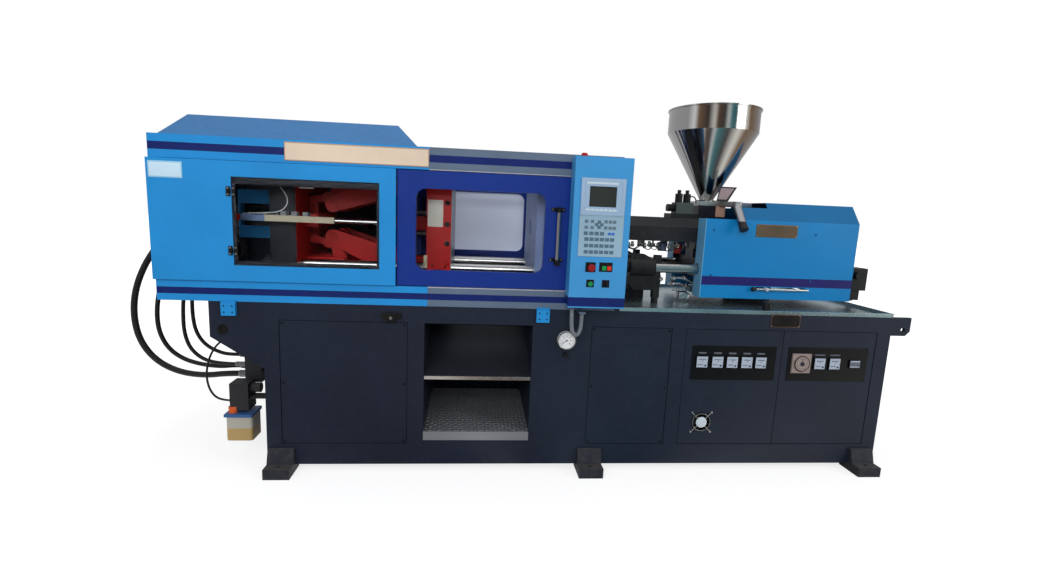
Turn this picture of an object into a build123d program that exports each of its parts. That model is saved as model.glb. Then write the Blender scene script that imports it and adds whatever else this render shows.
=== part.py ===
from build123d import *
import math
import os

# An injection moulding machine. A toggle clamp stands under the guard on the left and a
# screw injection unit on the tray at the right, both on one welded bed. X runs along the
# machine towards the injection end, Y away from the operator, Z up from the floor.
# The origin is on the floor in the middle of the machine. Sizes are in millimetres.

fit = 0.05  # radial running clearance of a shaft in its hole
seat = 0.3  # gap between two pieces that only rest against each other
slack = 4.0  # side gap between two link plates

# Bed
bed_left = -1500.0
bed_right = 1898.0
half_depth = 500.0
bed_bottom = 37.0
bed_top = 903.0
bed_skin = 8.0
deck = 20.0
lug_plate = 20.0
lug_left_end = -1758.0
lug_left_corner = 721.0
lug_left_foot = 556.0
lug_left_hole = (-1694.0, 759.0, 27.0)
lug_right_end = 2010.0
lug_right_low = 799.0
lug_right_cut = 26.0
lug_right_hole = (1967.0, 834.0, 13.0)

# Covers, doors and the parts bay in the front of the bed
panel_low = 152.0
panel_high = 815.0
panel_sheet = 6.0
panel_gap = 3.0
landing = 20.0
left_cover = (-1424.0, -780.0)
middle_cover = (187.0, 631.0)
door_span = (710.0, 1819.0)
door_meeting = 1269.0
rear_covers = [(-1424.0, -780.0), (-80.0, 631.0), (710.0, 1819.0)]
bay_left = -695.0
bay_right = -129.0
bay_low = 218.0
bay_high = 813.0
bay_mid = 523.0
upper_chute_back = (-50.0, 705.0)
floor_back = (100.0, 252.0)
chute_sheet = 4.0
chute_lip = 14.0
floor_lip = 44.0
drop_left = -560.0
drop_right = -170.0
drop_half = 215.0

# Feet
foot_width = 132.0
foot_reach = 100.0
foot_inset = 60.0
foot_block = 54.0
foot_gusset = 128.0
foot_bolt = 9.0
foot_bolt_in = 40.0
foot_xs = [-1425.0, 211.0, 1812.0]
latch_place = (-864.0, 841.0)
latch_half = 24.0
latch_thick = 16.0
latch_ear = (38.0, 15.0, 8.0)

# Guard
guard_left = -1997.0
guard_joint = -681.0
guard_right = 300.0
guard_top = 1700.0
rail_upper = 1590.0
rail_lower_high = 101.0
rail_lower = bed_top + rail_lower_high
rail_sheet = 4.0
rail_depth = 46.0
end_wall_in = 200.0
track_wide = 4.0
track_high = 12.0
track_in = 18.0
bracket_xs = [-1657.0, -80.0]
roof_left = -1955.0
roof_right = -743.0
roof_hip = 132.0
roof_rise = 134.0
roof_side = 490.0
roof_ridge = 200.0
roof_sheet = 3.0
panel_gap_low = 3.0
panel_gap_high = 2.0
clamp_panel_x = (-2003.0, -842.0)
clamp_panel_z = (rail_lower + panel_gap_low, rail_upper - panel_gap_high)
clamp_panel_fold = 14.0
clamp_panel_sheet = 3.0
window_x = (-1620.0, -922.0)
window_z = (1087.0, 1514.0)
window_pane = 5.0
window_gap = 2.0
window_hinge_z = (1444.0, 1159.0)
hinge_size = (40.0, 44.0, 5.0)
hinge_eye = 4.7
hinge_pin = 2.5

# Sliding gates
gate_x = (-838.0, 45.0)
gate_z = (rail_lower + panel_gap_low, rail_upper - panel_gap_low)
gate_thick = 28.0
gate_setback = 6.0
gate_skin = 3.0
gate_border = 30.0
gate_window_x = (-745.0, -92.0)
gate_window_z = (1090.0, 1499.0)
rear_window_x = (-745.0, -112.0)
rear_window_z = (1125.0, 1517.0)
gate_corner = 48.0
gate_pane = 4.0
gate_travel = 560.0
handle_x = -24.0
handle_z = (1152.0, 1421.0)
handle_rod = 10.0
handle_out = 42.0
handle_block = 26.0

# Control cabinet
cabinet_x = (30.0, 321.0)
cabinet_z = (935.0, 1685.0)
cabinet_deep = 100.0
cabinet_mount = 10.0
cabinet_back = half_depth + cabinet_mount
cabinet_sheet = 3.0
keypad_x = (65.0, 288.0)
keypad_z = (1197.0, 1583.0)
keypad_proud = 8.0
keypad_split = 1404.0
screen_x = (113.0, 242.0)
screen_z = (1445.0, 1543.0)
screen_sink = 4.0
key_size = 13.0
key_pitch = 22.0
key_proud = 1.5
button_left_x = 137.0
button_right_x = 216.0
button_high_z = 1141.0
button_low_z = 1060.0
button_hole = 11.0
button_ring = 15.0
button_travel = 5.0
stop_head = 19.0
lamp_in = 45.0
lamp_place = (82.0, -cabinet_back - lamp_in)
lamp_size = (16.0, 20.0)

# Clamp
axis_z = 1310.0
platen_half = 310.0
platen_corner = 30.0
tail_x = (-1520.0, -1385.0)
moving_x = (-708.0, -575.0)
fixed_x = (-113.0, 22.0)
bar_radius = 27.0
bar_y = 230.0
bar_z = 236.0
bar_end = 66.0
nut_radius = 46.0
nut_long = 50.0
way_half = (235.0, 285.0)
way_high = 8.0
platen_stroke = 240.0
ejector_stroke = 60.0
ejector_rod = 12.0
ejector_pitch = 60.0
ejector_plate = 20.0
ejector_half_y = 46.0
ejector_arm = (50.0, 62.0)
ejector_arm_half = 40.0
ejector_bridge = (-872.0, -860.0)
ejector_cylinder = 36.0
ejector_cylinder_end = -936.0
ejector_rest = -826.0
mould_hole = 8.0
mould_hole_deep = 40.0
mould_pitches = [210.0, 350.0]
ring_bore = 50.0
ring_deep = 25.0
nozzle_way = 32.0
nozzle_cone = 95.0

# Toggle
tail_pivot_x = -1200.0
pivot_high = 255.0
moving_lug = 125.0
rear_link_long = 170.0
arm_along = 140.0
arm_in = 45.0
ear_high = 110.0
pin_radius = 20.0
small_pin = 12.0
tail_eye = 50.0
knee_eye = 42.0
front_eye = 44.0
arm_eye = 29.0
ear_eye = 26.0
link_plate = 35.0
inner_plane = 36.0
front_link_belly = 62.0
tie_rod = 15.0

# Crosshead, its guides and the clamp cylinder
beam_long = 74.0
beam_shift = 32.0
platen_pocket = (76.0, 144.0, 26.0)
beam_half_y = 200.0
beam_half_z = 36.0
beam_slot_z = 15.0
beam_slot_past = 8.0
beam_slot_side = 3.0
ear_half_y = 32.0
guide_y = 177.0
guide_radius = 15.0
guide_front = -940.0
guide_plate = 18.0
rod_radius = 25.0
rod_hole = 30.0
cylinder_radius = 62.0
cylinder_bore = 50.0
cylinder_cap = 30.0
piston_long = 30.0
cylinder_end = -1935.0
arm_y = (112.0, 152.0)
arm_upper = (78.0, 152.0)
arm_lower = (-110.0, -44.0)
arm_end = -1730.0
arm_plate = 12.0
port_radius = 17.0

# Position rail beside the toggle
position_y = -382.0
position_x = (-1659.0, -1172.0)
position_z = 1319.0
position_high = 32.0
position_thick = 16.0

# Injection unit
tray_x = (330.0, 1908.0)
tray_sheet = 3.0
tray_lip = 12.0
tray_top = 923.0
bracket_x = (452.0, 640.0)
bracket_half_y = 262.0
carriage_y = 205.0
carriage_z = 1112.0
carriage_rod = 30.0
carriage_boss = 52.0
bracket_web = 36.0
bracket_low = 979.0
bracket_high = 1190.0
bracket_flange = 40.0
bracket_drop = 44.0
bracket_nose = 32.0
bracket_foot = 20.0
bracket_keel = 60.0
support_x = (1269.0, 1303.0)
carriage_travel = 150.0
throat_x = (893.0, 1060.0)
throat_half_y = 85.0
throat_low = 1222.0
saddle_z = (1056.0, 1168.0)
hopper_plate_z = 1484.0
hopper_plate_high = 26.0
hopper_plate_x = (893.0, 1226.0)
hopper_x = 972.0
feed_hole = 34.0
barrel_radius = 45.0
barrel_bore = 22.5
barrel_left = 40.0
nozzle_tip = -86.0
nozzle_radius = 26.0
nozzle_point = 12.0
band_thick = 8.0
band_long = 104.0
band_count = 5
band_pitch = 146.0
band_first = 90.0
terminal_size = (40.0, 26.0, 34.0)
screw_radius = 22.4
screw_root = 13.0
screw_stroke = 160.0
thrust_x = (1330.0, 1382.0)
thrust_half_y = 200.0
thrust_half_z = 92.0
ram_radius = 18.0
ram_cylinder = 42.0
ram_y = 146.0
ram_cylinder_end = 1285.0
motor_radius = 82.0
motor_long = 190.0
motor_port = 22.0

# Covers of the injection unit
cover_x = (860.0, 1790.0)
cover_half_y = 280.0
cover_z = (953.0, 1512.0)
cover_side_top = 1409.0
cover_top_half = 200.0
cover_sheet = 3.0
cover_notch = 1040.0
cover_mouth = 178.0
slot_z = (1004.0, 1024.0)
slot_end = 8.0

# Valves: the stack on the barrel cover and the block behind the injection cover
valve_left = 712.0
valve_plate = (180.0, 26.0)
valve_body_x = (36.0, 142.0)
valve_body_y = (-100.0, -20.0)
valve_body_high = 66.0
coil_ats = (62.0, 112.0)
coil_radius = 22.0
coil_high = 52.0
coil_cap = (11.0, 22.0)
coil_out = 44.0
rear_valve_long = 148.0
rear_valve_neck = 26.0
rear_valve_y = (-210.0, -104.0)
rear_valve_z = (1011.0, 1146.0)
rear_valve_low = 950.0
rear_valve_in = 14.0
rear_valve_pipe = 7.0
barrel_cover_x = (96.0, 893.0)
barrel_cover_half = 170.0
barrel_cover_z = (1265.0, 1404.0)
barrel_cover_side = 1350.0
barrel_cover_top = 122.0
pointer_out = 20.0
pointer_y = cover_half_y + pointer_out
pointer_rod = 6.0
pointer_arm = 1258.0
pointer_ahead = 86.0
pointer_behind = 253.0
pointer_x = (pointer_arm - pointer_ahead, pointer_arm + pointer_behind)
pointer_ball = 14.0
pointer_arm_wide = 16.0

# Hopper
hopper_radius = 262.0
hopper_top = 2047.0
hopper_band = 135.0
hopper_neck = 36.0
hopper_sheet = 3.0
hopper_rim = 7.0
hopper_flange = 64.0
hopper_flange_thick = 8.0
gate_plate = (94.0, 8.0)
gate_plate_out = 18.0
gate_plate_travel = 100.0
drain_top = (1045.0, -247.0, 1497.0)
drain_spout = 26.0
drain_end = (1053.0, -352.0, 1352.0)
drain_radius = 22.0
drain_wall = 2.0
sight_low = (998.0, 1064.0, 1505.0)
sight_high = (1012.0, 1118.0, 1600.0)
sight_frame = 7.0

# Meters on the doors
bank_z = (529.0, 722.0)
bank_in_left = (44.0, 33.0)
bank_in_right = (39.0, 40.0)
bank_left_x = (door_span[0] + bank_in_left[0], door_meeting - bank_in_left[1])
bank_right_x = (door_meeting + bank_in_right[0], door_span[1] - bank_in_right[1])
bank_left_long = bank_left_x[1] - bank_left_x[0]
bank_right_long = bank_right_x[1] - bank_right_x[0]
bank_sheet = 3.0
meter_z = 632.0
meter_proud = 8.0
# Places and sizes of the instruments, as shares of the length of the plate that carries them
meter_shares_left = [0.1183, 0.3008, 0.4751, 0.6494, 0.8174]
meter_shares_right = [0.3949, 0.5839]
timer_share = 0.1614
counter_share = 0.8408
meter_size_share = 0.1452
right_size_share = 0.1486
timer_size_share = 0.2378
counter_size_shares = (0.1444, 0.1019)
meter_size = bank_left_long * meter_size_share
right_meter_size = bank_right_long * right_size_share
timer_size = bank_right_long * timer_size_share
counter_size = [bank_right_long * share for share in counter_size_shares]
meter_xs_left = [bank_left_x[0] + bank_left_long * share for share in meter_shares_left]
meter_xs_right = [bank_right_x[0] + bank_right_long * share for share in meter_shares_right]
timer_x = bank_right_x[0] + bank_right_long * timer_share
counter_x = bank_right_x[0] + bank_right_long * counter_share
fan_in = (131.0, 131.0)
fan_place = (door_span[0] + fan_in[0], panel_low + fan_in[1])
fan_case = 120.0
fan_deep = 38.0
fan_hole = 55.0
fan_hub = 20.0
fan_blades = 7
door_swing = 115.0
window_swing = 110.0

# Gauge
gauge_place = (51.0, 741.0)
gauge_radius = 50.0
gauge_deep = 28.0
knob_place = (52.0, 659.0)
knob_radius = 13.0
knob_long = 26.0

# Hoses and lubrication at the left end
manifold_y = (-250.0, -90.0)
manifold_x = -1700.0
manifold_z = (400.0, 560.0)
manifold_arm_z = (452.0, 508.0)
fitting_long = 56.0
pump_x = (-1722.0, -1626.0)
pump_y = (-400.0, -300.0)
pump_z = (292.0, 440.0)
tank_x = (-1742.0, -1606.0)
tank_y = (-412.0, -288.0)
tank_z = (128.0, 276.0)
tank_lid = 16.0
tank_cap = 24.0


# Free hoses and cables. Each list holds the points of one route, from its first fitting
# to its last one.
hose_a_radius = 16.5
hose_b_radius = 12.0
hose_c_radius = 10.0
cable_radius = 5.5
conduit_radius = 11.0
conduit_gland = 17.0
hose_ends = [(-170.0, 424.0, 20.0), (-140.0, 462.0, 16.0), (-210.0, 492.0, 14.0), (-150.0, 530.0, 14.0)]
hose_end_x = manifold_x - fitting_long
plate_end_x = arm_end - arm_plate
hose_a = [
    (cylinder_end, 0, axis_z),
    (-2025, 0, axis_z),
    (-2125, -30, 1250),
    (-2205, -75, 1150),
    (-2270, -115, 1025),
    (-2312, -143, 885),
    (-2325, -150, 740),
    (-2300, -152, 600),
    (-2220, -155, 488),
    (-2095, -161, 424),
    (-1950, -167, 408),
    (-1835, -170, 424),
    (hose_end_x, -170, 424),
]
hose_b = [
    (cylinder_end, -36, 1280),
    (-1995, -36, 1280),
    (-2070, -62, 1220),
    (-2125, -90, 1120),
    (-2165, -115, 1005),
    (-2190, -135, 885),
    (-2204, -147, 765),
    (-2196, -150, 650),
    (-2152, -148, 556),
    (-2075, -145, 495),
    (-1975, -142, 464),
    (-1870, -140, 454),
    (-1808, -140, 462),
    (hose_end_x, -140, 462),
]
hose_c = [
    (plate_end_x, -125, 1240),
    (-1810, -125, 1240),
    (-1900, -140, 1200),
    (-1975, -160, 1110),
    (-2020, -178, 1000),
    (-2032, -190, 885),
    (-2038, -198, 770),
    (-2034, -204, 660),
    (-2002, -208, 570),
    (-1930, -210, 510),
    (-1830, -210, 492),
    (hose_end_x, -210, 492),
]
hose_d = [
    (plate_end_x, -62, 1222),
    (-1815, -62, 1222),
    (-1905, -78, 1175),
    (-1975, -100, 1080),
    (-2013, -120, 970),
    (-2018, -134, 860),
    (-2016, -143, 750),
    (-2000, -148, 655),
    (-1950, -150, 580),
    (-1870, -150, 538),
    (-1810, -150, 530),
    (hose_end_x, -150, 530),
]
cable = [
    (-1655, -225, manifold_z[1]),
    (-1655, -225, 600),
    (-1690, -242, 650),
    (-1752, -265, 668),
    (-1812, -290, 640),
    (-1850, -312, 575),
    (-1866, -330, 495),
    (-1858, -342, 412),
    (-1822, -350, 350),
    (-1770, -350, 330),
    (pump_x[0], -350, 330),
]
conduit = [
    (62, -560, cabinet_z[0]),
    (62, -560, 870),
    (66, -558, 806),
    (90, -553, 772),
    (114, -548, 800),
    (118, -545, 848),
    (118, -545, 893),
]


def block(x0, x1, y0, y1, z0, z1):
    """A rectangular block between two corners."""
    middle = Pos((x0 + x1) / 2, (y0 + y1) / 2, (z0 + z1) / 2)
    return middle * Box(abs(x1 - x0), abs(y1 - y0), abs(z1 - z0))


def plate_xz(points, y0, y1):
    """A plate whose outline lies in XZ, from y0 to y1."""
    face = make_face(Polyline(*points, close=True))
    return extrude(Plane.XZ.offset(-y1) * face, y1 - y0)


def plate_yz(points, x0, x1):
    """A plate whose outline lies in YZ, from x0 to x1."""
    face = make_face(Polyline(*points, close=True))
    return extrude(Plane.YZ.offset(x0) * face, x1 - x0)


def rod_x(radius, x0, x1, y, z):
    """A round bar along X."""
    return extrude(Plane.YZ.offset(x0) * Pos(y, z) * Circle(radius), x1 - x0)


def rod_y(radius, y0, y1, x, z):
    """A round bar along Y."""
    return extrude(Plane.XZ.offset(-y1) * Pos(x, z) * Circle(radius), y1 - y0)


def rod_z(radius, z0, z1, x, y):
    """A round bar along Z."""
    return extrude(Plane.XY.offset(z0) * Pos(x, y) * Circle(radius), z1 - z0)


def rounded_opening(xs, zs, corner, y0, y1):
    """A cutter with rounded corners for a window in an upright sheet."""
    outline = RectangleRounded(xs[1] - xs[0], zs[1] - zs[0], corner)
    centre = Pos((xs[0] + xs[1]) / 2, (zs[0] + zs[1]) / 2)
    return extrude(Plane.XZ.offset(-y1) * centre * outline, y1 - y0)


def mirrored(shape):
    """The same piece on the rear side of the machine."""
    return mirror(shape, about=Plane.XZ)


def upside_down(shape):
    """The same piece below the clamp axis."""
    return mirror(shape, about=Plane.XY.offset(axis_z))


def merged(shapes):
    """One solid made of overlapping or touching shapes."""
    shapes = list(shapes)
    return shapes[0].fuse(*shapes[1:]) if len(shapes) > 1 else shapes[0]


def group(shapes):
    """Separate solids kept side by side in one node."""
    return Compound(children=[s for shape in shapes for s in shape.solids()])


def both_sides(shape):
    return [shape, mirrored(shape)]


# Toggle geometry. The machine is drawn with its mould open, as in use between two shots.
moving_pivot_x = moving_x[0] - moving_lug
open_span = moving_pivot_x - tail_pivot_x
front_link_long = open_span + platen_stroke - rear_link_long
fold_cos = (rear_link_long**2 + open_span**2 - front_link_long**2) / (2 * rear_link_long * open_span)
rear_fold = math.acos(fold_cos)
knee = (
    tail_pivot_x + rear_link_long * math.cos(rear_fold),
    axis_z + pivot_high - rear_link_long * math.sin(rear_fold),
)
tail_pivot = (tail_pivot_x, axis_z + pivot_high)
moving_pivot = (moving_pivot_x, axis_z + pivot_high)
front_fold = math.atan2(moving_pivot[1] - knee[1], moving_pivot[0] - knee[0])
arm_pivot = (
    tail_pivot_x + arm_along * math.cos(rear_fold) - arm_in * math.sin(rear_fold),
    tail_pivot[1] - arm_along * math.sin(rear_fold) - arm_in * math.cos(rear_fold),
)
crosshead_link_long = pivot_high - arm_in - ear_high
ear_rise = arm_pivot[1] - axis_z - ear_high
ear_pivot = (
    arm_pivot[0] - math.sqrt(crosshead_link_long**2 - ear_rise**2),
    axis_z + ear_high,
)
crosshead_stroke = tail_pivot_x + arm_along - ear_pivot[0]
crosshead_link_rest = math.atan2(ear_pivot[1] - arm_pivot[1], ear_pivot[0] - arm_pivot[0])
crosshead_link_turn = (-math.pi / 2 - crosshead_link_rest) % (2 * math.pi)
if crosshead_link_turn > math.pi:
    crosshead_link_turn -= 2 * math.pi

# Planes of the link plates, counted outwards from the middle of the machine
plane_b = inner_plane + link_plate + slack
plane_c = plane_b + link_plate + slack
plane_d = plane_c + link_plate + slack
pin_half = plane_c + link_plate + slack


def bed_landing(x0, x1, posts):
    """Frame behind an opening, for a cover or door to close on."""
    y0 = -half_depth + bed_skin
    ring = block(x0 - landing, x1 + landing, y0, y0 + bed_skin, panel_low - landing, panel_high + landing)
    edges = [x0, *posts, x1]
    for left, right in zip(edges, edges[1:]):
        ring -= block(left + landing, right - landing, y0, y0 + bed_skin, panel_low + landing, panel_high - landing)
    return ring


def bed_opening(x0, x1):
    return block(x0, x1, -half_depth, -half_depth + bed_skin, panel_low, panel_high)


def left_lug():
    outline = [
        (bed_left + lug_plate, bed_top),
        (lug_left_end, bed_top),
        (lug_left_end, lug_left_corner),
        (bed_left, lug_left_foot),
        (bed_left + lug_plate, lug_left_foot),
    ]
    x, z, radius = lug_left_hole
    plate = plate_xz(outline, -half_depth, -half_depth + lug_plate)
    return plate - rod_y(radius, -half_depth, -half_depth + lug_plate, x, z)


def right_lug():
    outline = [
        (bed_right - lug_plate, bed_top),
        (lug_right_end, bed_top),
        (lug_right_end, lug_right_low + lug_right_cut),
        (lug_right_end - lug_right_cut, lug_right_low),
        (bed_right - lug_plate, lug_right_low),
    ]
    x, z, radius = lug_right_hole
    plate = plate_xz(outline, -half_depth, -half_depth + lug_plate)
    return plate - rod_y(radius, -half_depth, -half_depth + lug_plate, x, z)


def bed_frame():
    """Welded bed: skins, deck, bay walls, landings, platen ways and lifting lugs."""
    body = block(bed_left, bed_right, -half_depth, half_depth, bed_bottom, bed_top)
    inside = half_depth - bed_skin
    spans = [
        (bed_left + bed_skin, bay_left - bed_skin),
        (bay_left, bay_right),
        (bay_right + bed_skin, bed_right - bed_skin),
    ]
    for x0, x1 in spans:
        body -= block(x0, x1, -inside, inside, bed_bottom + bed_skin, bed_top - deck)
    body -= block(bay_left, bay_right, -half_depth, -inside, bay_low, bay_high)
    body -= block(drop_left, drop_right, -drop_half, drop_half, bed_top - deck, bed_top)
    front = [(*left_cover, []), (*middle_cover, []), (*door_span, [door_meeting])]
    for x0, x1, posts in front:
        body = body.fuse(bed_landing(x0, x1, posts)) - bed_opening(x0, x1)
    for x0, x1 in rear_covers:
        body = body.fuse(mirrored(bed_landing(x0, x1, []))) - mirrored(bed_opening(x0, x1))
    way = block(moving_x[0], fixed_x[0] - landing, *way_half, bed_top, bed_top + way_high)
    overhang = block(lug_left_end, bed_left, -half_depth, half_depth, bed_top - deck, bed_top)
    x, z = latch_place
    latch = block(x - latch_half, x + latch_half, -half_depth - latch_thick, -half_depth, z - latch_half, z + latch_half)
    reach, round_end, up = latch_ear
    wings = block(x - reach, x + reach, -half_depth - latch_thick, -half_depth, z + up - round_end, z + up + round_end)
    ears = [rod_y(round_end, -half_depth - latch_thick, -half_depth, x + side * reach, z + up) for side in (-1, 1)]
    x, y, z = conduit[-1]
    gland = block(x - conduit_gland, x + conduit_gland, y - conduit_gland, -half_depth, z, bed_top)
    extras = [overhang, *both_sides(left_lug()), *both_sides(right_lug()), *both_sides(way), latch, wings, *ears, gland]
    body = body.fuse(*extras)
    x, z = knob_place
    return body - rod_y(knob_radius / 2 + fit, -half_depth, -inside, x, z)


def levelling_feet():
    """Six stepped feet bolted under and against the sides of the bed."""
    reach = half_depth + foot_reach
    outline = [
        (-reach, 0),
        (-half_depth + foot_inset, 0),
        (-half_depth + foot_inset, bed_bottom),
        (-half_depth, bed_bottom),
        (-half_depth, foot_gusset),
        (-half_depth - lug_plate, foot_gusset),
        (-reach + foot_bolt_in + foot_bolt * 2, foot_block),
        (-reach, foot_block),
    ]
    feet = []
    for x in foot_xs:
        foot = plate_yz(outline, x - foot_width / 2, x + foot_width / 2)
        foot -= rod_z(foot_bolt, 0, foot_gusset, x, -reach + foot_bolt_in)
        feet += both_sides(foot)
    return group(feet)


def cover_sheet_at(x0, x1):
    y0 = -half_depth + bed_skin - panel_sheet
    gap = panel_gap
    return block(x0 + gap, x1 - gap, y0, y0 + panel_sheet, panel_low + gap, panel_high - gap)


def bed_covers():
    """Screwed covers of the bed, and the two sloping plates in the parts bay."""
    covers = [cover_sheet_at(*left_cover), cover_sheet_at(*middle_cover)]
    covers += [mirrored(cover_sheet_at(*span)) for span in rear_covers]
    front = -half_depth + bed_skin
    back_y, back_z = upper_chute_back
    upper = [
        (front, bay_mid - chute_lip),
        (front + chute_sheet, bay_mid - chute_lip),
        (front + chute_sheet, bay_mid),
        (back_y, back_z),
        (back_y, back_z + chute_sheet),
        (front, bay_mid + chute_sheet),
    ]
    covers.append(plate_yz(upper, bay_left, bay_right))
    return group([*covers, bay_floor()])


def bay_floor():
    """Chequered floor plate of the parts bay, with its lip over the front of the bed."""
    back_y, back_z = floor_back
    lip = -half_depth - chute_sheet
    outline = [
        (lip, bay_low - floor_lip),
        (-half_depth, bay_low - floor_lip),
        (-half_depth, bay_low),
        (-half_depth + bed_skin, bay_low + seat),
        (back_y, back_z),
        (back_y, back_z + chute_sheet),
        (lip, bay_low + chute_sheet),
    ]
    return plate_yz(outline, bay_left, bay_right)


def drip_tray():
    """Stainless tray over the bed under the injection unit, edges turned up."""
    x0, x1 = tray_x
    tray = block(x0, x1, -half_depth, half_depth, bed_top, tray_top)
    lip = tray_lip
    tray -= block(x0 + lip, x1 - lip, -half_depth + lip, half_depth - lip, bed_top + tray_sheet, tray_top)
    tray -= block(bed_right + seat, x1, -half_depth, half_depth, bed_top, tray_top - tray_sheet)
    return tray


def rail_pair(x0, x1):
    """Upper and lower rail of one side, bent channels with the track that guides the gate."""
    front = -half_depth
    back = front + rail_depth
    sheet = rail_sheet
    upper = [
        (back, guard_top),
        (front, guard_top),
        (front, rail_upper),
        (back, rail_upper),
        (back, rail_upper + sheet),
        (front + sheet, rail_upper + sheet),
        (front + sheet, guard_top - sheet),
        (back, guard_top - sheet),
    ]
    lower = [
        (back, rail_lower),
        (front, rail_lower),
        (front, bed_top),
        (back, bed_top),
        (back, bed_top + sheet),
        (front + sheet, bed_top + sheet),
        (front + sheet, rail_lower - sheet),
        (back, rail_lower - sheet),
    ]
    track = front + track_in
    hang = block(x0, x1, track, track + track_wide, rail_upper - track_high, rail_upper)
    stand = block(x0, x1, track, track + track_wide, rail_lower, rail_lower + track_high)
    return [plate_yz(upper, x0, x1).fuse(hang), plate_yz(lower, x0, x1).fuse(stand)]


def portal(x0, x1, low):
    """Posts and cross members that tie the front and rear rails together at one end."""
    deep = rail_depth
    post = block(x0, x1, -half_depth, -half_depth + deep, bed_top, guard_top)
    beam_top = block(x0, x1, -half_depth, half_depth, guard_top - deep, guard_top)
    beam_low = block(x0, x1, -half_depth, half_depth, low, low + deep)
    return [*both_sides(post), beam_top, beam_low]


def guard_bracket(x):
    """Block with a gusset that bolts the guard down to the side of the bed."""
    wide = rail_depth * 1.5
    outline = [
        (-half_depth - lug_plate, bed_top - wide),
        (-half_depth, bed_top - wide),
        (-half_depth, bed_top + rail_sheet * 2),
        (-half_depth - lug_plate, bed_top - rail_sheet),
    ]
    return plate_yz(outline, x - wide / 2, x + wide / 2)


def guard_rails_left():
    """Blue frame over the clamp: rails, end posts and beams inside them, the cross member at
    the joint, the end sheet, and the blue blocks that hold the guard to the bed."""
    rails = rail_pair(guard_left, guard_joint)
    pieces = [*rails, *[mirrored(r) for r in rails]]
    deep, sheet = rail_depth, rail_sheet
    inner = half_depth - sheet
    end = (guard_left, guard_left + deep)
    top = (guard_top - deep, guard_top - sheet)
    low = (bed_top + sheet, bed_top + deep)
    posts = both_sides(block(*end, -half_depth, -half_depth + deep, rail_lower, rail_upper))
    beams = [
        block(*end, -inner, inner, *top),
        block(*end, -inner, inner, *low),
        block(guard_joint - deep, guard_joint, -inner, inner, *top),
    ]
    wall = block(guard_left, guard_left + sheet, end_wall_in, inner, low[0], top[1])
    for piece in [*posts, *beams, wall]:
        for other in pieces:
            piece = piece - other
        pieces.append(piece)
    brackets = []
    for x in bracket_xs:
        brackets += both_sides(guard_bracket(x))
    return group([*pieces, *brackets])


def guard_rails_right():
    """Grey frame over the mould space: rails and the end portal round the barrel."""
    rails = rail_pair(guard_joint, guard_right)
    pieces = [*rails, *[mirrored(r) for r in rails]]
    pieces += portal(guard_right - rail_depth, guard_right, bed_top)
    return merged(pieces)


def hipped(inset):
    """Hipped solid under the roof sheet, smaller by an inset."""
    low = Rectangle(roof_right - roof_left - 2 * inset, 2 * (roof_side - inset))
    high = Rectangle(roof_right - roof_left - roof_hip - 2 * inset, 2 * (roof_ridge - inset))
    low_face = Plane.XY.offset(guard_top) * Pos((roof_left + roof_right) / 2, 0) * low
    high_middle = (roof_left + roof_right - roof_hip) / 2
    high_face = Plane.XY.offset(guard_top + roof_rise - inset) * Pos(high_middle, 0) * high
    return loft([low_face.faces()[0], high_face.faces()[0]])


def roof_cover():
    """Folded sheet roof over the toggle, sloping to the front, rear and mould end."""
    return hipped(0) - hipped(roof_sheet)


def folded_panel(xs, zs, y_out):
    """Sheet panel with its four edges folded back towards the rails."""
    y0 = -half_depth - y_out
    shell = block(*xs, y0, -half_depth, *zs)
    sheet = clamp_panel_sheet
    pocket = block(xs[0] + sheet, xs[1] - sheet, y0 + sheet, -half_depth, zs[0] + sheet, zs[1] - sheet)
    return shell - pocket


def hinge_axis():
    return window_x[0], -half_depth - clamp_panel_fold - hinge_size[2]


def hinge_leaf(z, side):
    """One leaf of a window hinge: side -1 is fixed and has the two outer eyes, side 1 moves."""
    wide, high, thick = hinge_size
    x, y = hinge_axis()
    x0, x1 = sorted((x, x + side * wide / 2))
    leaf = block(x0, x1, y, y + thick, z - high / 2, z + high / 2)
    middle = (z - high / 4, z + high / 4)
    outer = [(z - high / 2, z - high / 4), (z + high / 4, z + high / 2)]
    if side < 0:
        leaf -= rod_z(hinge_eye + seat, middle[0] - seat, middle[1] + seat, x, y)
        leaf -= block(x, x + wide, y, y + thick, z - high, z + high)
        leaf = leaf.fuse(*[rod_z(hinge_eye, *span, x, y) for span in outer])
        return leaf - rod_z(hinge_pin + fit, z - high, z + high, x, y)
    for low, high_end in outer:
        leaf -= rod_z(hinge_eye + seat, low - seat, high_end + seat, x, y)
    pin = rod_z(hinge_pin, z - high / 2, z + high / 2, x, y)
    return leaf.fuse(rod_z(hinge_eye, middle[0] + seat, middle[1] - seat, x, y)).fuse(pin)


def clamp_panel():
    """Front panel of the clamp guard with the frame of its window and two fixed hinge leaves."""
    panel = folded_panel(clamp_panel_x, clamp_panel_z, clamp_panel_fold)
    y0 = -half_depth - clamp_panel_fold
    frame = block(window_x[0] - landing, window_x[1] + landing, y0, -half_depth,
                  window_z[0] - landing, window_z[1] + landing)
    panel = panel.fuse(frame)
    depth = clamp_panel_sheet + window_pane + seat
    panel -= block(*window_x, y0, y0 + depth, *window_z)
    inner = clamp_panel_fold / 2
    panel -= block(window_x[0] + inner, window_x[1] - inner, y0, -half_depth,
                   window_z[0] + inner, window_z[1] - inner)
    return group([panel, *[hinge_leaf(z, -1) for z in window_hinge_z]])


def rear_panel():
    """Plain rear panel of the clamp guard."""
    return mirrored(folded_panel((guard_left, clamp_panel_x[1]), clamp_panel_z, clamp_panel_fold))


def clamp_panels():
    return group([clamp_panel(), rear_panel()])


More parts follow.
